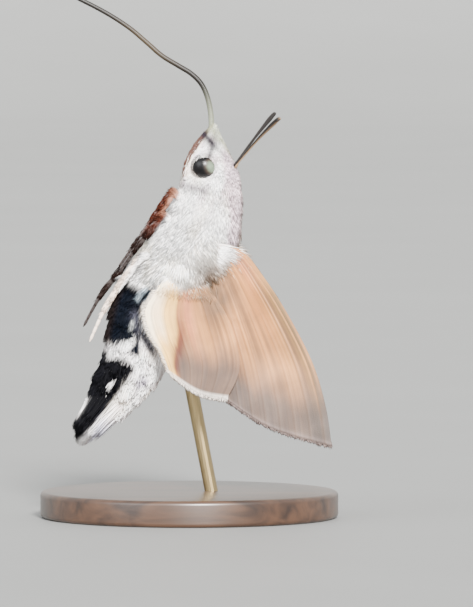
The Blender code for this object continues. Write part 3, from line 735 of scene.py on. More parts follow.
def add_coat(name, slot, roots, lengths, widths, lifts, rng, painter, comb=None,
             stretch=1, raised=0, profile=HAIR, curl=0.7, flatness=0.35, variation=0.1,
             root_shade=0.78):
    """A piece of the coat: tufts that carry the markings where each of their rings lies.

    The roots are places, normals, lies and uv. A pair of lengths, widths or lifts in degrees is
    a range to draw from. The comb is how much locks and single hairs lean to a side.
    """
    here, normals, lies, uv = roots
    if comb:
        lies = combed(lies, normals, here, rng, *comb)
    lengths, widths, lifts = (
        rng.uniform(*size, len(here)) if isinstance(size, tuple) else size
        for size in (lengths, widths, lifts)
    )
    shape, centres, ring = tuft_mesh(here, normals, lies, lengths * stretch, widths,
                                     np.radians(lifts + raised), profile, curl, flatness, rng)
    count, rings, _ = centres.shape
    colours = painter(centres.reshape(-1, 3)).reshape(count, rings, 3)
    shade = rng.normal(1, variation, (count, 1, 1))
    locks = noise(here * (0.45, 1, 1), 0.3) + 0.6 * noise(here, 0.9) - 0.8
    shade = shade * (1 + 0.36 * locks)[:, None, None]
    # Painted shade: each tuft is darker at its root, by root_shade, and a little brighter at its
    # tip, for shade deep in the coat
    depth = np.linspace(root_shade, 1.06, rings)[None, :, None]
    colours = (colours * shade * depth)[:, ring].reshape(-1, 3)
    uv = uv[:, None, :] + rng.uniform(-0.0015, 0.0015, (count, len(ring), 2))
    add_piece(name, shape, "fur", slot, colours=colours, uv=uv.reshape(-1, 2))


def trunk_roots(count, front, rear, rng, keep=lambda x, angle, height: 1):
    """Roots over a length of the trunk, as thick as keep says, and their angles on it."""
    x = np.linspace(front, rear, ROOT_ROWS)
    angle = np.linspace(0, FULL_TURN, ROOT_COLUMNS, endpoint=False)
    grid_x, grid_angle = (g.ravel() for g in np.meshgrid(x, angle, indexing="ij"))

    def slopes(at_x, at_angle):
        inset, small = read_table(COAT_DEPTH, at_x), 0.01
        here = trunk_point(at_x, at_angle, inset)
        along = trunk_point(at_x - small, at_angle, inset) - here
        around = trunk_point(at_x, at_angle + small, inset) - here
        return here, along / small, around / small

    _, along, around = slopes(grid_x, grid_angle)
    height = trunk_point(grid_x, grid_angle)[:, 2]
    area = np.linalg.norm(np.cross(along, around), axis=1) * keep(grid_x, grid_angle, height)
    pick = rng.choice(len(area), size=tufts(count), p=area / area.sum())
    at_x = grid_x[pick] + rng.uniform(-0.5, 0.5, len(pick)) * abs(x[1] - x[0])
    at_angle = grid_angle[pick] + rng.uniform(-0.5, 0.5, len(pick)) * (angle[1] - angle[0])
    here, along, around = slopes(at_x, at_angle)
    normals = unit(np.cross(around, along))
    facing = np.einsum("ij,ij->i", normals, here - trunk_axis(at_x))
    normals = normals * np.sign(facing)[:, None]
    return here, normals, unit(along), trunk_uv(at_x, at_angle), at_angle


def make_body_coat():
    """Short fur over the head, long soft fur over the thorax and flat scales on the abdomen."""
    rng = seeded(0)
    fields = (
        # tufts, front, rear, length, width, lift in degrees
        ("face", 12500, 8.84, 4.6, 0.74, 0.08, 25),
        ("head", 13000, 5.2, 2.2, 1.15, 0.08, 23),
        ("thorax_front", 15000, 2.6, -1.6, 1.6, 0.085, 20),
        ("thorax_rear", 15000, -1.2, -6.2, 1.75, 0.09, 19),
        ("abdomen_front", 8500, -5.6, -11.6, 1, 0.14, 18),
        ("abdomen_rear", 8500, -11.2, -17.6, 1.1, 0.14, 18),
    )
    for place, count, front, rear, length, width, lift in fields:
        slot, profile, root_shade = (
            ("abdomen_fur", SCALE, 0.9) if "abdomen" in place else ("white_fur", HAIR, 0.84))
        roots = trunk_roots(count, front, rear, rng)
        clear = eye_gap(roots[0]) > -0.04
        here, normals, lies, uv, angle = (values[clear] for values in roots)
        x, count = here[:, 0], len(here)
        lies = combed(lies, normals, here, rng, 0.7, 0.16)
        lengths = length * rng.uniform(0.65, 1.15, count)
        # Shorter towards the nose and behind the eyes, and longer on the abdomen's back
        lengths = lengths * np.interp(x, [4, 8.8], [1, 0.55])
        behind_eye = ramp(EYE_PLACE[0] + 0.2, EYE_PLACE[0] - 0.8, x)
        lengths = lengths * (1 - 0.5 * (1 - ramp(0, 0.6, eye_gap(here))) * behind_eye)
        if profile is SCALE:
            lengths = lengths * (1 + 0.35 * ramp(0.2, 0.9, np.sin(angle)) * bell(x + 13, 4))
        lifts = lift * rng.uniform(0.4, 1.5, count)
        widths = width / math.sqrt(QUICK_SHARE) * rng.uniform(0.7, 1.3, count)
        add_coat("coat_" + place, slot, (here, normals, lies, uv), lengths, widths, lifts, rng,
                 paint_trunk, profile=profile, variation=0.13, root_shade=root_shade)


def make_eye_rims():
    """Fur round each eye: it lies back over the eye's front and upper edge, and past the rest."""
    rng = seeded(6)
    for word, side in SIDES:
        count = tufts(3000)
        turn = rng.uniform(0, FULL_TURN, count)
        across = xyz(np.cos(turn), 0 * turn, np.sin(turn))
        over = ramp(-0.1, 0.7, np.cos(turn - 0.9))
        ragged = noise(across[:, [0, 2, 1]], 0.5) - 0.5
        tilt = rng.uniform(56 + 12 * over, 86 + 9 * over, count) - 16 * np.maximum(ragged, 0)
        pole = np.array([0, side, 0])
        outer = turned(pole, across, np.radians(tilt))
        here = mirrored(EYE_PLACE, side) + outer * (EYE_RADIUS - 0.02)
        inward = square_to(outer, pole)
        back = square_to(outer, (-1, 0, -0.2))
        lies = combed(unit(inward * (0.05 + 0.5 * over)[:, None] + back), outer, here, rng,
                      0.6, 0.22)
        lengths = rng.uniform(0.25, 0.4, count) + 0.35 * over * rng.uniform(0, 1, count)
        roots = here, outer, lies, 0.3 + 0.05 * across[:, [0, 2]]
        # The rim fur is mottled with painted shade, so that the ring is no brighter than the fur
        # round it
        add_coat("coat_eye_rim_" + word, "white_fur", roots, lengths, (0.05, 0.08), (7, 18), rng,
                 lambda points: layered(paint_trunk(points),
                                        (CREASE_SHADE_GREY, 0.3 * noise(points, 0.3))))


def make_brow_tuft():
    """The pointed tuft between the palps, over the root of the proboscis."""
    rng = seeded(8)
    here, normals, _, uv, _ = trunk_roots(
        2500, 8.84, 7.2, rng,
        lambda x, angle, height: ramp(7.2, 8, x) * ramp(-0.6, 0, np.sin(angle)))
    lies = unit((9.9, 0, -2.1) + here * (0, 0.7, 0) - here)
    add_coat("coat_brow", "white_fur", (here, square_to(lies, normals), lies, uv), (0.35, 0.85),
             (0.045, 0.075), (2, 12), rng, paint_trunk, comb=(0.4, 0.14), variation=0.12,
             stretch=np.interp(here[:, 0], [7.2, 8.8], [1.1, 0.8]))


def make_chest_fur():
    """Shaggy fur on the breast, round the roots of the legs."""
    rng = seeded(7)
    *roots, _ = trunk_roots(6000, 4.3, -5.2, rng,
                            lambda x, angle, height: ramp(-1.4, -2.6, height))
    add_coat("coat_chest", "white_fur", roots, (0.8, 1.7), (0.06, 0.11), (16, 38), rng,
             paint_trunk, comb=(0.9, 0.2), curl=0.9, variation=0.14)


def make_shoulder_fur():
    """Long fur on the thorax that lies out over the roots of the wings."""
    rng = seeded(5)

    def near_wings(x, angle, height):
        top = np.interp(x, [-4.6, -3, -2], [1.3, 1.5, 2.3])
        return ramp(-2.6, -1.2, height) * ramp(0, -0.2, height - top)

    here, _, lies, uv, _ = trunk_roots(11500, 0.9, -4.8, rng, near_wings)
    x, height = here[:, 0], here[:, 2]
    aside = np.sign(here * (0, 1, 0))
    ahead = ramp(-3.2, -2, x + 0.6 * (height - 0.8))[:, None]
    ways = ahead * (-0.66, 0.3, 0.7) + (1 - ahead) * (-0.88, 0.3, 0.36)
    share = ramp(-1.6, 0, height)[:, None]
    lies = unit(lies * (1 - share) + unit(ways * (aside + (1, 0, 1))) * share)
    over_hindwing = ramp(-2, -3.2, x) * ramp(-2.4, -1.2, height)
    add_coat("coat_shoulders", "white_fur", (here, square_to(lies, aside), lies, uv), (1.2, 2.6),
             (0.06, 0.11), (3, 13), rng, paint_shoulder, comb=(0.45, 0.13),
             stretch=np.interp(x, [-0.8, 0.6], [1, 0.65]), raised=22 * over_hindwing, curl=1.1,
             variation=0.12, root_shade=0.98)


def over_wing(points):
    """From 0 to 1: how far a place lies past the line where white fur gives way to the wings."""
    line = np.interp(points[:, 0], [-5.4, -4.1, -2.5, -1.2, 0.2], [1, 2.1, 2.75, 3.9, 4.6])
    return ramp(-0.35, 0.95, points[:, 2] - line + 0.5 * (noise(points, 0.35) - 0.5))


def root_patch(points):
    """How strong the grey-tan patch between the roots of the wings is."""
    away = gap_from_line(points[:, 0], points[:, 2], ((-3, 2.6), (-5.2, 4.6)))
    return bell(away, 1) * (0.5 + 0.5 * noise(points, 0.4))


def paint_shoulder(points):
    return layered(WHITE, (CREAM, 0.5 * noise(points, 1.3)), (PEACH, 0.8 * over_wing(points)),
                   (ROOT_GREY, root_patch(points)))


def tube_roots(line, radii, upright, share, rng):
    """Places on a tube at those shares of its length, with normals and lies, and their angles."""
    steps, at = np.arange(len(line)), share * (len(line) - 1)
    angle = rng.uniform(0, FULL_TURN, len(share))
    middle, heading, aside, over = (
        read_columns(steps, at, values) for values in (line, *ring_frames(line, upright)))
    normals = unit(turned(aside, over, angle))
    here = middle + normals * np.interp(at, steps, radii)[:, None]
    return here, normals, unit(heading), angle


def make_palp_coat():
    """Close, short fur on the palps."""
    rng = seeded(1)
    for number, (word, side) in enumerate(SIDES):
        share = rng.uniform(0, 1, tufts(4500)) ** 0.9
        roots = tube_roots(*palp_line(side, PALP_COAT_RINGS), (0, 0, 1), share, rng)
        clear = eye_gap(roots[0]) > 0.05
        *roots, angle, share = (values[clear] for values in (*roots, share))
        roots.append(xyz(0.05 + 0.4 * share + 0.45 * number, 0.7 + 0.03 * angle))
        add_coat("coat_palp_" + word, "white_fur", roots, (0.28, 0.56), (0.05, 0.09), (10, 34),
                 rng, paint_palp, comb=(0.5, 0.15), variation=0.18)


def paint_palp(points):
    """White sides, a rust-brown lower edge that also stands for painted shade, and a grey-green
    tip.
    """
    x, _, z = points.T
    at, _, height, radius = np.array(PALP).T
    below = (np.interp(x, at, height) - z) / np.interp(x, at, radius)
    return layered(
        WHITE,
        (CREAM, 0.6 * ramp(0, 0.4, below)),
        (LAVENDER * 0.8, 0.6 * ramp(0.5, 0.8, noise(points * (0.35, 1, 1), 0.22))),
        (PALP_BEIGE, 0.8 * ramp(5.7, 4.7, x)),
        # The palp's rust-brown underside, its own colour deepened as painted shade
        (RUST, 0.95 * ramp(0.34, 0.62, below + 0.15 * noise(points, 0.4))),
        *snout_layers(points),
    )


def make_long_tufts():
    """The long tufts on the abdomen's flanks, and the fan of scales at its end."""
    rng = seeded(2)
    groups = []
    for x, length in FLANK_TUFTS:
        for side in (LEFT, RIGHT):
            count = tufts(900)
            degrees = rng.uniform(-48, 28, count)
            angle = np.radians(np.where(side == LEFT, degrees, 180 - degrees))
            at_x = x + rng.uniform(-0.55, 0.45, count) + 0.3 * np.sin(angle * 9)
            depth = read_table(COAT_DEPTH, at_x)
            here, behind = (trunk_point(at, angle, depth) for at in (at_x, at_x - 0.8))
            groups.append((here, unit(here * (0, 1, 0.8)), unit(behind - here),
                           trunk_uv(at_x, angle), length * rng.uniform(0.55, 1.05, count)))
    *roots, lengths = (np.concatenate(group) for group in zip(*groups))
    add_coat("flank_tufts", "abdomen_fur", roots, lengths, (0.11, 0.2), (7, 21), rng,
             paint_trunk, comb=(0.5, 0.1), profile=SCALE, curl=1.1, flatness=0.18)
    make_tail(rng)


def make_tail(rng):
    """The tail's fan: scales from all through its root, which spread and taper to one edge."""
    count = tufts(6500)
    x = rng.uniform(-18.6, -16.4, count)
    angle = rng.uniform(0, FULL_TURN, count)
    depth = np.where(x < -17.3, rng.uniform(0.15, 1, count), rng.uniform(0.9, 1, count))
    middle = trunk_axis(x)
    here = middle + (trunk_point(x, angle, 0.25) - middle) * depth[:, None]
    tip_y, height = here[:, 1] * TAIL_SPREAD, here[:, 2] + 1
    tip_x = TAIL_TIP_X + 0.16 * np.abs(tip_y) ** 1.6 + 0.55 * np.abs(height) ** 1.3
    tip_x = tip_x + rng.uniform(0, 1.3, count) ** 2
    reach = xyz(tip_x, tip_y, TAIL_TIP_Z + height * TAIL_TAPER) - here
    lies = unit(reach)
    normals = square_to(lies, unit(here - middle + (0, 0, 1e-3)))
    roots, lengths = (here, normals, lies, trunk_uv(x, angle)), np.linalg.norm(reach, axis=1)
    add_coat("tail_scales", "tail_fur", roots, lengths, (0.13, 0.25), rng.normal(2, 2.5, count),
             rng, paint_trunk, profile=SCALE, curl=0.3, flatness=0.16)


def forewing_y(z, t):
    return FOREWING_ROOT_Y + WING_SLOPE * (z - FOREWING["front"][0][1]) + WING_TIP_BEND * t * t


def hindwing_y(z, t):
    plane = HINDWING_PLANE_Y + WING_SLOPE * np.hypot(z - 1, 1) + WING_TIP_BEND * 0.8 * t * t
    return HINDWING_ROOT_Y + (plane - HINDWING_ROOT_Y) * ramp(0, 0.26, t)


def wing_streaks(k, t, fineness, seed):
    """Soft streaks that run out from the wing's root."""
    return noise(xyz(k * fineness + seed, t * 1.6 + seed, np.full_like(k, seed * 0.37)), 1)


def vein_mask(sizes, k, t, width):
    """Where the veins run. The middle ones start at the end of the wing's cell."""
    end, late = sizes["cell_end"], sizes["late_veins"]
    mask = np.zeros_like(k)
    for number, at in enumerate(sizes["veins"]):
        start = ramp(end - 0.06, end + 0.02, t) if number in late else 1
        mask = np.maximum(mask, bell(k - at, width) * start)
    first, last = sizes["veins"][late[0]], sizes["veins"][late[-1]]
    across = ramp(first - 0.1, first, k) * ramp(last + 0.1, last, k)
    bar = bell(t - end - 0.02 * np.cos((k - 0.5) * 9), width * 0.8) * across
    return np.maximum(mask, 0.6 * bar)


# In the wings' painters, k is the share from the front to the rear edge and t the share from the
# root to the outer edge.


def streak_layers(streak, fine):
    return ((STREAK_BROWN, 0.55 * ramp(0.48, 0.85, streak)),
            (STREAK_BROWN, 0.35 * ramp(0.45, 0.9, fine)),
            (PALE_TAN, 0.5 * ramp(0.45, 0.1, fine)))


def paint_forewing(k, t, under):
    if not under:
        wave = 0.015 * np.sin(k * 38) + 0.03 * np.cos(k * 5)
        spot = np.hypot((k - 0.34) / 0.035, (t - 0.49) / 0.022)
        return layered(
            UPPER_GREY,
            (BACK_BROWN * 1.3, 0.6 * wing_streaks(k, t, 9, 5)),
            *((UPPER_LINE, strength * bell(t - at - wave, width))
              for at, width, strength in UPPER_LINES),
            (UPPER_LINE, 0.5 * ramp(0.86, 1, t)),
            (UPPER_LINE, ramp(1.3, 0.7, spot)),
        )
    streak, fine = wing_streaks(k, t, 14, 3), wing_streaks(k, t, 46, 8)
    band = ramp(0.62, 0.92, t + 0.06 * (streak - 0.5) + 0.05 * k)
    low = ramp(0.62, 0.95, k + 0.06 * (fine - 0.5)) * ramp(0.5, 0.75, t)
    return layered(
        PEACH,
        (ORANGE_TAN, 0.8 * bell(k - 0.24, 0.2) * bell(t - 0.38, 0.25)),
        (PINK, 0.7 * bell(k - 0.16, 0.09) * bell(t - 0.16, 0.12)),
        (STREAK_BROWN, 0.7 * bell(k - 0.66, 0.2) * bell(t - 0.26, 0.15)),
        (OLIVE_TAN, 0.95 * bell(k, 0.21) * ramp(0.12, 0.4, t)),
        *streak_layers(streak, fine),
        (PALE_TAN, 0.7 * bell(t - 0.78, 0.13) * bell(k - 0.42, 0.3)),
        (MARGIN_MAUVE, 0.9 * np.maximum(band, 0.95 * low)),
        (PALE_MAUVE, 0.5 * ramp(0.97, 0.99, t)),
        (WHITE, 0.9 * ramp(0.1, 0.02, t + 0.05 * (streak - 0.5))),
    )


def paint_hindwing(k, t, under):
    if not under:
        return layered(UPPER_ORANGE, (BACK_BROWN * 0.7, ramp(0.22, 0.04, t)),
                       (UPPER_MARGIN, ramp(0.74, 0.92, t + 0.1 * (0.5 - k))))
    streak, fine = wing_streaks(k, t, 11, 7), wing_streaks(k, t, 34, 2)
    lobe = k - (0.62 + 0.24 * ramp(0.5, 0.95, t)) + 0.03 * (fine - 0.5)  # past the crease
    fold = bell(lobe + 0.035, 0.06 + 0.05 * streak) * ramp(0.22, 0.62, t)
    margin = ramp(0.52, 0.84, t + 0.05 * (streak - 0.5)) * ramp(0.02, -0.12, lobe)
    return layered(
        PEACH,
        (STREAK_BROWN, 0.7 * bell(k - 0.2, 0.14) * bell(t - 0.32, 0.18)),
        (PINK, 0.7 * bell(k - 0.48, 0.07) * ramp(0.9, 0.4, t)),
        *streak_layers(streak, fine),
        (YELLOW_CREAM, ramp(-0.02, 0.03, lobe)),
        (CREAM, 0.75 * ramp(0.1, 0.32, lobe + 0.1 * (streak - 0.5))),
        (PEACH, 0.25 * ramp(0.4, 0.8, fine) * ramp(0, 0.1, lobe)),
        (FOLD_BROWN, 0.9 * fold * ramp(1, 0.9, t)),
        (MARGIN_MAUVE, 0.85 * margin),
        (FRINGE, 0.8 * ramp(0.965, 0.995, t)),
        (WHITE, ramp(0.2, 0.06, t + 0.06 * (streak - 0.5))),
    )


def wing_surface(sizes, y_at, side):
    """A function that gives the places on the wing's middle surface at k and t."""
    front, rear, outer = (smooth_line(sizes[edge]) for edge in ("front", "rear", "outer"))
    count = len(sizes["veins"])

    def place(k, t):
        over_k, over_t = k[:, None], t[:, None]
        along = place_on(front, t) * (1 - over_k) + place_on(rear, t) * over_k
        across = (front[0] * (1 - over_k) + rear[0] * over_k) * (1 - over_t)
        across = across + place_on(outer, k) * over_t
        flat = (front[0] * (1 - over_t) + outer[0] * over_t) * (1 - over_k)
        flat = flat + (rear[0] * (1 - over_t) + outer[-1] * over_t) * over_k
        x, z = (along + across - flat).T
        pleats = np.interp(k, sizes["veins"], np.arange(count))
        ripple = WING_PLEAT * np.sin(FULL_TURN * pleats) * ramp(0, 0.3, t)
        return xyz(x, (y_at(z, t) + ripple) * side, z)

    return place


def make_wing(kind, word, side, sizes, y_at, painter):
    """A thin wing with raised veins. Its underside faces out, since the wings are raised."""
    name = kind + "_" + word
    grid = WING_ROWS, WING_COLUMNS
    place = wing_surface(sizes, y_at, side)
    t, k = (share.ravel() for share in np.meshgrid(
        np.linspace(0, 1, WING_ROWS), np.linspace(0, 1, WING_COLUMNS), indexing="ij"))
    middle, veins = place(k, t), vein_mask(sizes, k, t, 0.011)
    rim = ramp(0, 0.03, np.minimum(np.minimum(k, 1 - k), 1 - t))
    root = 1 + 1.5 * ramp(0.15, 0, t)
    half = (WING_MEMBRANE / 2 * (0.4 + 0.6 * rim) + VEIN_BUMP * veins) * root
    normals = np.cross(*np.gradient(middle.reshape(*grid, 3), axis=(0, 1))).reshape(-1, 3)
    normals = unit(normals) * np.sign(normals[:, 1] * side)[:, None]
    points = np.concatenate([middle + normals * half[:, None], middle - normals * half[:, None]])
    face, count = grid_faces(*grid, False), len(k)
    index = np.arange(count).reshape(grid)
    edge = np.concatenate([index[0], index[1:, -1], index[-1, -2::-1], index[-2:0:-1, 0]])
    ahead = np.roll(edge, -1)
    faces = np.concatenate([face, face[:, ::-1] + count, xyz(edge, edge + count, ahead + count),
                                xyz(edge, ahead + count, ahead)])
    patches = 0.78 + 0.44 * noise(middle * (0.7, 0, 0.7), 1.1)
    colours = []
    for under, tone in ((True, STREAK_BROWN), (False, UPPER_LINE)):
        paint = layered(painter(k, t, under), (ROOT_GREY, under * root_patch(middle)),
                        (tone, 0.24 * veins * ramp(0.08, 0.3, t)))
        colours.append(speckled(paint, middle, 0.07) * patches[:, None])
    flat = xyz(k * 0.96 + 0.02, t * 0.46 + 0.02)
    add_piece("scaled_" + name, (points, outward(points, faces)), "wing", kind, [name],
              np.concatenate(colours), np.concatenate([flat, flat + (0, 0.5)]))
    wing = name, kind, side, place, painter, seeded(3)
    make_fringe(*wing)
    make_root_hair(*wing)


def wing_uv(k, t):
    return xyz(k * 0.9 + 0.05, t * 0.46 + 0.02)


def make_fringe(name, kind, side, place, painter, rng):
    """A fringe of fine scales along the wing's outer and rear edges."""
    outer, rear = tufts(1400), tufts(900)
    k = np.append(rng.uniform(0, 1, outer), rng.uniform(0.97, 0.995, rear))
    t = np.append(rng.uniform(0.975, 0.995, outer), rng.uniform(0.25, 1, rear))
    count = len(k)
    on_rear = np.arange(count) >= outer
    here = place(k, t)
    root = place(np.full_like(k, 0.45), np.full_like(t, 0.1))
    inner = place(k - 0.05 * on_rear, t - 0.05 * ~on_rear)
    here[:, 1] += rng.choice([-1, 1], count) * 0.03
    lies = unit(unit(here - inner) + 0.35 * unit(here - root))
    normals = square_to(lies, (0, side, 0))
    lies = combed(lies, normals, here, rng, 0.3, 0.1)
    tone = (FRINGE, 0.75) if kind == "hindwing" else (PALE_MAUVE, 0.85)
    paint = layered(painter(np.repeat(k, HAIR_RINGS), np.repeat(t, HAIR_RINGS), True), tone)
    add_coat("fringe_" + name, kind, (here, normals, lies, wing_uv(k, t)),
             rng.uniform(0.28, 0.55, count), rng.uniform(0.08, 0.15, count),
             rng.normal(0, 6, count), rng, lambda points: paint, flatness=0.15)


def make_root_hair(name, kind, side, place, painter, rng):
    """Hair over the wing's root, white at first and in the wing's colours further out."""
    count = tufts(2200)
    k = rng.uniform(0.03, 0.98, count)
    t = 0.008 + (0.28 if kind == "hindwing" else 0.19) * rng.uniform(0, 1, count) ** 1.7
    here = place(k, t)
    lies = unit(place(k, t + 0.02) - here)

    def paint_root(points):
        reach = np.repeat(t, HAIR_RINGS) + np.tile(np.linspace(0, 0.07, HAIR_RINGS), count)
        share = ramp(0.26, 0.1, reach + 0.06 * noise(points, 1.2))
        return layered(painter(np.repeat(k, HAIR_RINGS), reach, True),
                       (CREAM, 0.3 * ramp(0.4, 0.16, reach)),
                       (WHITE, share * (1 - 0.9 * over_wing(points))),
                       (ROOT_GREY, root_patch(points)))

    add_coat("root_hair_" + name, kind,
             (here, square_to(lies, (0, side, 0)), lies, wing_uv(k, t)), (0.7, 2),
             (0.055, 0.1), (2, 9), rng, paint_root, comb=(0.4, 0.12), curl=1.1, root_shade=0.95,
             stretch=np.interp(t, [0, 0.25], [1.3, 0.45]), raised=8 * ramp(0.12, 0.02, t))


def make_wings():
    for word, side in SIDES:
        make_wing("forewing", word, side, FOREWING, forewing_y, paint_forewing)
        make_wing("hindwing", word, side, HINDWING, hindwing_y, paint_hindwing)


def make_eyes():
    """Smooth compound eyes, set in the fur, with a painted reflection."""
    polar, around = np.meshgrid(np.linspace(0.02, np.pi - 0.02, EYE_ROWS), turns(EYE_COLUMNS),
                                indexing="ij")
    ball = xyz(np.sin(polar) * np.cos(around), np.cos(polar), np.sin(polar) * np.sin(around))
    for word, side in SIDES:
        points, faces = closed_tube(mirrored(EYE_PLACE, side) + ball * EYE_RADIUS)
        facing = unit(points - mirrored(EYE_PLACE, side))
        # Painted reflection: a pale green patch, ringed in brown, where each eye faces out and up
        reflection_facing = facing @ unit(np.array([0.2, 0.8 * side, 0.56]))
        reflection_facing = reflection_facing + 0.1 * (noise(points, 0.5) - 0.5)
        colours = layered(EYE_BLACK, (EYE_REFLECTION_BROWN, 0.8 * ramp(0.7, 0.9, reflection_facing)),
                          (EYE_REFLECTION_GREEN, 0.85 * ramp(0.83, 0.97, reflection_facing)))
        add_piece("glossy_eye_" + word, (points, faces), "eye", "eye", ["eye_" + word],
                  colours)


def make_antennae():
    """Dark clubbed antennae with close rings and pale tips, the left one with a painted highlight
    along its side.
    """
    out, up = ANTENNA_SPREAD, ANTENNA_LIFT
    heading = np.array([math.cos(out) * math.cos(up), math.sin(out),
                        math.cos(out) * math.sin(up)])
    backward = np.array([-math.sin(out), math.cos(out), 0])
    rings = ANTENNA_JOINTS * 5
    share = np.linspace(0, 1, rings)
    hook = ANTENNA_HOOK * np.maximum(0, (share - 0.88) / 0.12) ** 2
    bow = hook - ANTENNA_BOW * np.sin(np.pi * share)
    line = np.array(ANTENNA_ROOT) + heading * (ANTENNA_LENGTH * share)[:, None]
    line = line + backward * bow[:, None]

    def dip(shares):
        return 0.5 + 0.5 * np.cos(FULL_TURN * shares * ANTENNA_JOINTS)

    radii = read_table(ANTENNA_RADII, share) * (1 - 0.1 * dip(share))
    shares, _ = tube_shares(rings, ANTENNA_SIDES)
    for word, side in SIDES:
        placed = mirrored(line, side)
        points, faces = tube(placed, radii, ANTENNA_SIDES, (0, 0, 1))
        centre = np.concatenate([np.repeat(placed, ANTENNA_SIDES, axis=0), placed[[0, -1]]])
        # Painted highlight: the left antenna is pale on the side that faces out and up
        facing = unit(points - centre + 1e-6) @ unit(np.array([-0.35, 0.75, 0.6]))
        colours = layered(ANTENNA_DARK,
                          (ANTENNA_TIP_AND_HIGHLIGHT, 0.8 * ramp(0.6, 0.9, facing) * (side == LEFT)),
                          (ANTENNA_TIP_AND_HIGHLIGHT, 0.5 * ramp(0.93, 0.99, shares)))
        add_piece("ringed_antenna_" + word, (points, faces), "horn", "horn",
                  ["antenna_" + word], colours * (1 - 0.3 * dip(shares))[:, None])


def make_proboscis():
    """One long tube of two halves, with a groove between them and fine rings."""
    share = np.linspace(0, 1, PROBOSCIS_RINGS)
    line = place_on(smooth_line([(x, 0, z) for x, z in PROBOSCIS_LINE]), share)
    groove = 1 - 0.22 * bell(np.sin(turns(PROBOSCIS_SIDES)), 0.35)
    radii = read_table(PROBOSCIS_RADII, share)[:, None] * groove
    radii = radii * (1 - 0.03 * np.cos(FULL_TURN * share * PROBOSCIS_JOINTS)[:, None])
    shares, _ = tube_shares(PROBOSCIS_RINGS, PROBOSCIS_SIDES)
    # A painted highlight: a paler brown band just short of the middle of the dark proboscis
    add_piece("ringed_proboscis", tube(line, radii, PROBOSCIS_SIDES), "horn", "horn",
              ["proboscis_base", "proboscis_middle", "proboscis_tip"],
              layered(PROBOSCIS_DARK, (PROBOSCIS_GREEN, 0.85 * ramp(0.2, 0.03, shares)),
                      (PROBOSCIS_HIGHLIGHT_BROWN, 0.5 * bell(shares - 0.42, 0.1))))


def leg_line(kind, side):
    points = np.array(LEG_LINES[kind])
    if side == RIGHT:
        back, down = LEG_STRAY[kind]
        points = points + np.linspace(0, 1, len(points))[:, None] * (back, 0, down)
    return smooth_line(mirrored(points, side))


def paint_leg(points):
    """Rust and dark brown at the front. The left hind leg's outer side is pale, both its own tone
    and painted light; its inner side and the right hind leg stay dark as painted shade.
    """
    x, y, z = points.T
    # Painted light: only the left hind leg's outer side turns pale, and the rest stays dark as
    # painted shade
    hind = ramp(-3.9, -4.6, x) * (y > np.interp(x, [-12.9, -6.5, -6], [1.3, 1.5, 1.9]))
    middle, half_height, _ = trunk_at(x)
    over_belly = z - (middle - half_height)
    clear = ramp(-0.05, -0.55, over_belly + 0.25 * noise(points, 0.9))
    return layered(
        LEG_PINK,
        (RUST, np.maximum(clear, ramp(0.9, -0.1, x))),
        (LEG_DARK, 0.9 * ramp(1.2, -2.6, x + noise(points, 1.2))),
        (LEG_PALE, hind),
        (WHITE, 0.9 * ramp(0.05, 0.4, over_belly)),
    )


def make_legs():
    """Legs with thigh, shin and jointed foot, in close scales, with spurs on the shin."""
    rng = seeded(4)
    share = np.linspace(0, 1, LEG_RINGS)
    radii = read_table(LEG_RADII, share)
    for joint in LEG_JOINTS:
        radii = radii * (1 - 0.25 * bell(share - joint, 0.008))
    for kind in LEG_LINES:
        for word, side in SIDES:
            name = kind + "_" + word
            line = place_on(leg_line(kind, side), share)
            shapes = [tube(line, radii, LEG_SIDES)]
            for at, lean in SPURS:
                start, ahead = place_on(line, [at, at + 0.03])
                way = unit(ahead - start) + (0, 0.28 * lean, -0.25)
                spur = start + way * np.linspace(0, 0.95, SPUR_RINGS)[:, None]
                shapes.append(tube(spur, np.linspace(0.09, 0.02, SPUR_RINGS), SPUR_SIDES))
            points, faces = joined(shapes)
            add_piece("scaled_" + name, (points, faces), "skin", "leg", [name],
                      speckled(paint_leg(points), points, 0.12))
            along = rng.uniform(0.02, 0.97, tufts(1200))
            *roots, angle = tube_roots(line, radii, (0, 1, 0), along, rng)
            roots.append(xyz(0.05 + 0.9 * along, 0.05 + 0.14 * angle))
            add_coat("scales_" + name, "leg", roots, (0.7, 1.2), (0.07, 0.12), (4, 14), rng,
                     paint_leg, comb=(0.3, 0.12), stretch=read_table(LEG_SCALES, along))


def make_stand():
    """The turned wooden base. Its rod keeps the CAD solid's shape."""
    inner, top = BASE_RADIUS - BASE_BEVEL, BASE_THICKNESS - BASE_BEVEL
    corner = [(BASE_BEVEL * math.sin(a), BASE_BEVEL * math.cos(a))
              for a in np.linspace(0, np.pi / 2, 8)]
    profile = [(1e-3, BASE_THICKNESS), (inner * 0.5, BASE_THICKNESS),
               *((inner + sine, top + cosine) for sine, cosine in corner),
               (BASE_RADIUS, BASE_THICKNESS * 0.5),
               *((inner + cosine, BASE_BEVEL - sine) for sine, cosine in corner), (1e-3, 0)]
    around = turns(BASE_SIDES)
    radius, height = (values[:, None] for values in np.array(profile).T)
    rings = xyz(radius * np.cos(around), radius * np.sin(around), height + 0 * around)
    base = add_piece("turned_base", closed_tube(rings), "wood", "stand_wood", ["stand_base"],
                     in_body=False)
    base.data.set_sharp_from_angle(angle=math.radians(40))
    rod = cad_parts["stand_rod"]
    for slot in rod.material_slots:
        slot.material = MATERIALS["brass"]


def add_object(name, data, towards=None):
    """An object in the scene, whose local +Z points that way."""
    made = bpy.data.objects.new(name, data)
    if towards is not None:
        made.rotation_euler = Vector(towards).to_track_quat("Z", "Y").to_euler()
    bpy.context.scene.collection.objects.link(made)
    return made


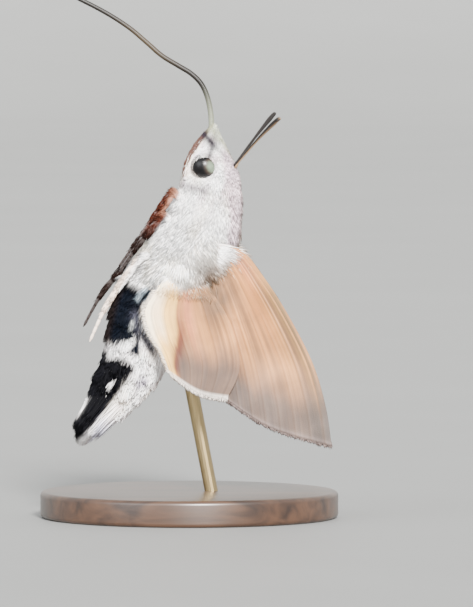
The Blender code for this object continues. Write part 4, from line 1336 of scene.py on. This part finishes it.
def make_camera():
    """The photo's view: the moth's left side, seen nearly square on from far away."""
    target = Vector((
        THORAX_PLACE[0] + (PHOTO_WIDTH / 2 - THORAX_PIXEL[0]) * METRES_PER_PIXEL,
        CAMERA_AIM_Y,
        THORAX_PLACE[2] + (THORAX_PIXEL[1] - PHOTO_HEIGHT / 2) * METRES_PER_PIXEL,
    ))
    level = math.cos(CAMERA_ELEVATION)
    back = Vector((math.sin(CAMERA_AZIMUTH) * level, -math.cos(CAMERA_AZIMUTH) * level,
                   math.sin(CAMERA_ELEVATION)))
    lens = bpy.data.cameras.new("photo_camera")
    lens.sensor_width = lens.sensor_height = SENSOR
    lens.sensor_fit = "AUTO"
    lens.lens = SENSOR * CAMERA_DISTANCE / (PHOTO_HEIGHT * METRES_PER_PIXEL)
    lens.clip_start, lens.clip_end = 0.01, 10
    camera = add_object("photo_camera", lens, back)
    camera.location = target + back * CAMERA_DISTANCE
    bpy.context.scene.camera = camera


def add_sun(name, towards, strength, softness, colour=(1, 1, 1)):
    """Even light from one way, with shadows as soft as a lamp that many degrees wide."""
    lamp = bpy.data.lights.new(name, "SUN")
    lamp.energy, lamp.angle, lamp.color = strength, math.radians(softness), colour
    add_object(name, lamp, towards)


def make_studio():
    """A pale floor that curves up into a backdrop, soft light and a pale surround."""
    points = []
    for share in np.linspace(0, 1, FLOOR_ROWS):
        bend = np.clip((share - FLAT_SHARE) / BENT_SHARE, 0, 1) * np.pi / 2
        flat = min(share / FLAT_SHARE, 1)
        upright = max(0, share - FLAT_SHARE - BENT_SHARE) / (1 - FLAT_SHARE - BENT_SHARE)
        y = FLOOR_FRONT + FLOOR_DEPTH * flat + BEND_RADIUS * math.sin(bend)
        z = BEND_RADIUS * (1 - math.cos(bend)) + WALL_HEIGHT * upright
        points += [(x, y, z) for x in np.linspace(-FLOOR_REACH, FLOOR_REACH, FLOOR_COLUMNS)]
    data = bpy.data.meshes.new("studio_floor")
    data.from_pydata(points, [], grid_faces(FLOOR_ROWS, FLOOR_COLUMNS, False).tolist())
    data.shade_smooth()
    data.materials.append(MATERIALS["floor"])
    floor = add_object("studio_floor", data)
    add_sun("key", (0.16, -1, 0.52), 17, 12, (1, 0.975, 0.94))
    add_sun("fill", (-0.9, -0.8, 0.45), 2, 40, (0.94, 0.97, 1))
    add_sun("rim", (0.7, 1, 0.6), 3.2, 25)
    world = bpy.data.worlds.new("studio")
    world.use_nodes = True
    world.node_tree.nodes["Background"].inputs["Color"].default_value = (0.8, 0.82, 0.84, 1)
    world.node_tree.nodes["Background"].inputs["Strength"].default_value = 1.9
    bpy.context.scene.world = world


for make in (make_camera, make_studio, make_skin, make_body_coat, make_eye_rims, make_brow_tuft,
             make_chest_fur, make_shoulder_fur, make_palp_coat, make_long_tufts, make_wings,
             make_eyes, make_antennae, make_proboscis, make_legs, make_stand):
    make()
bpy.context.view_layer.update()
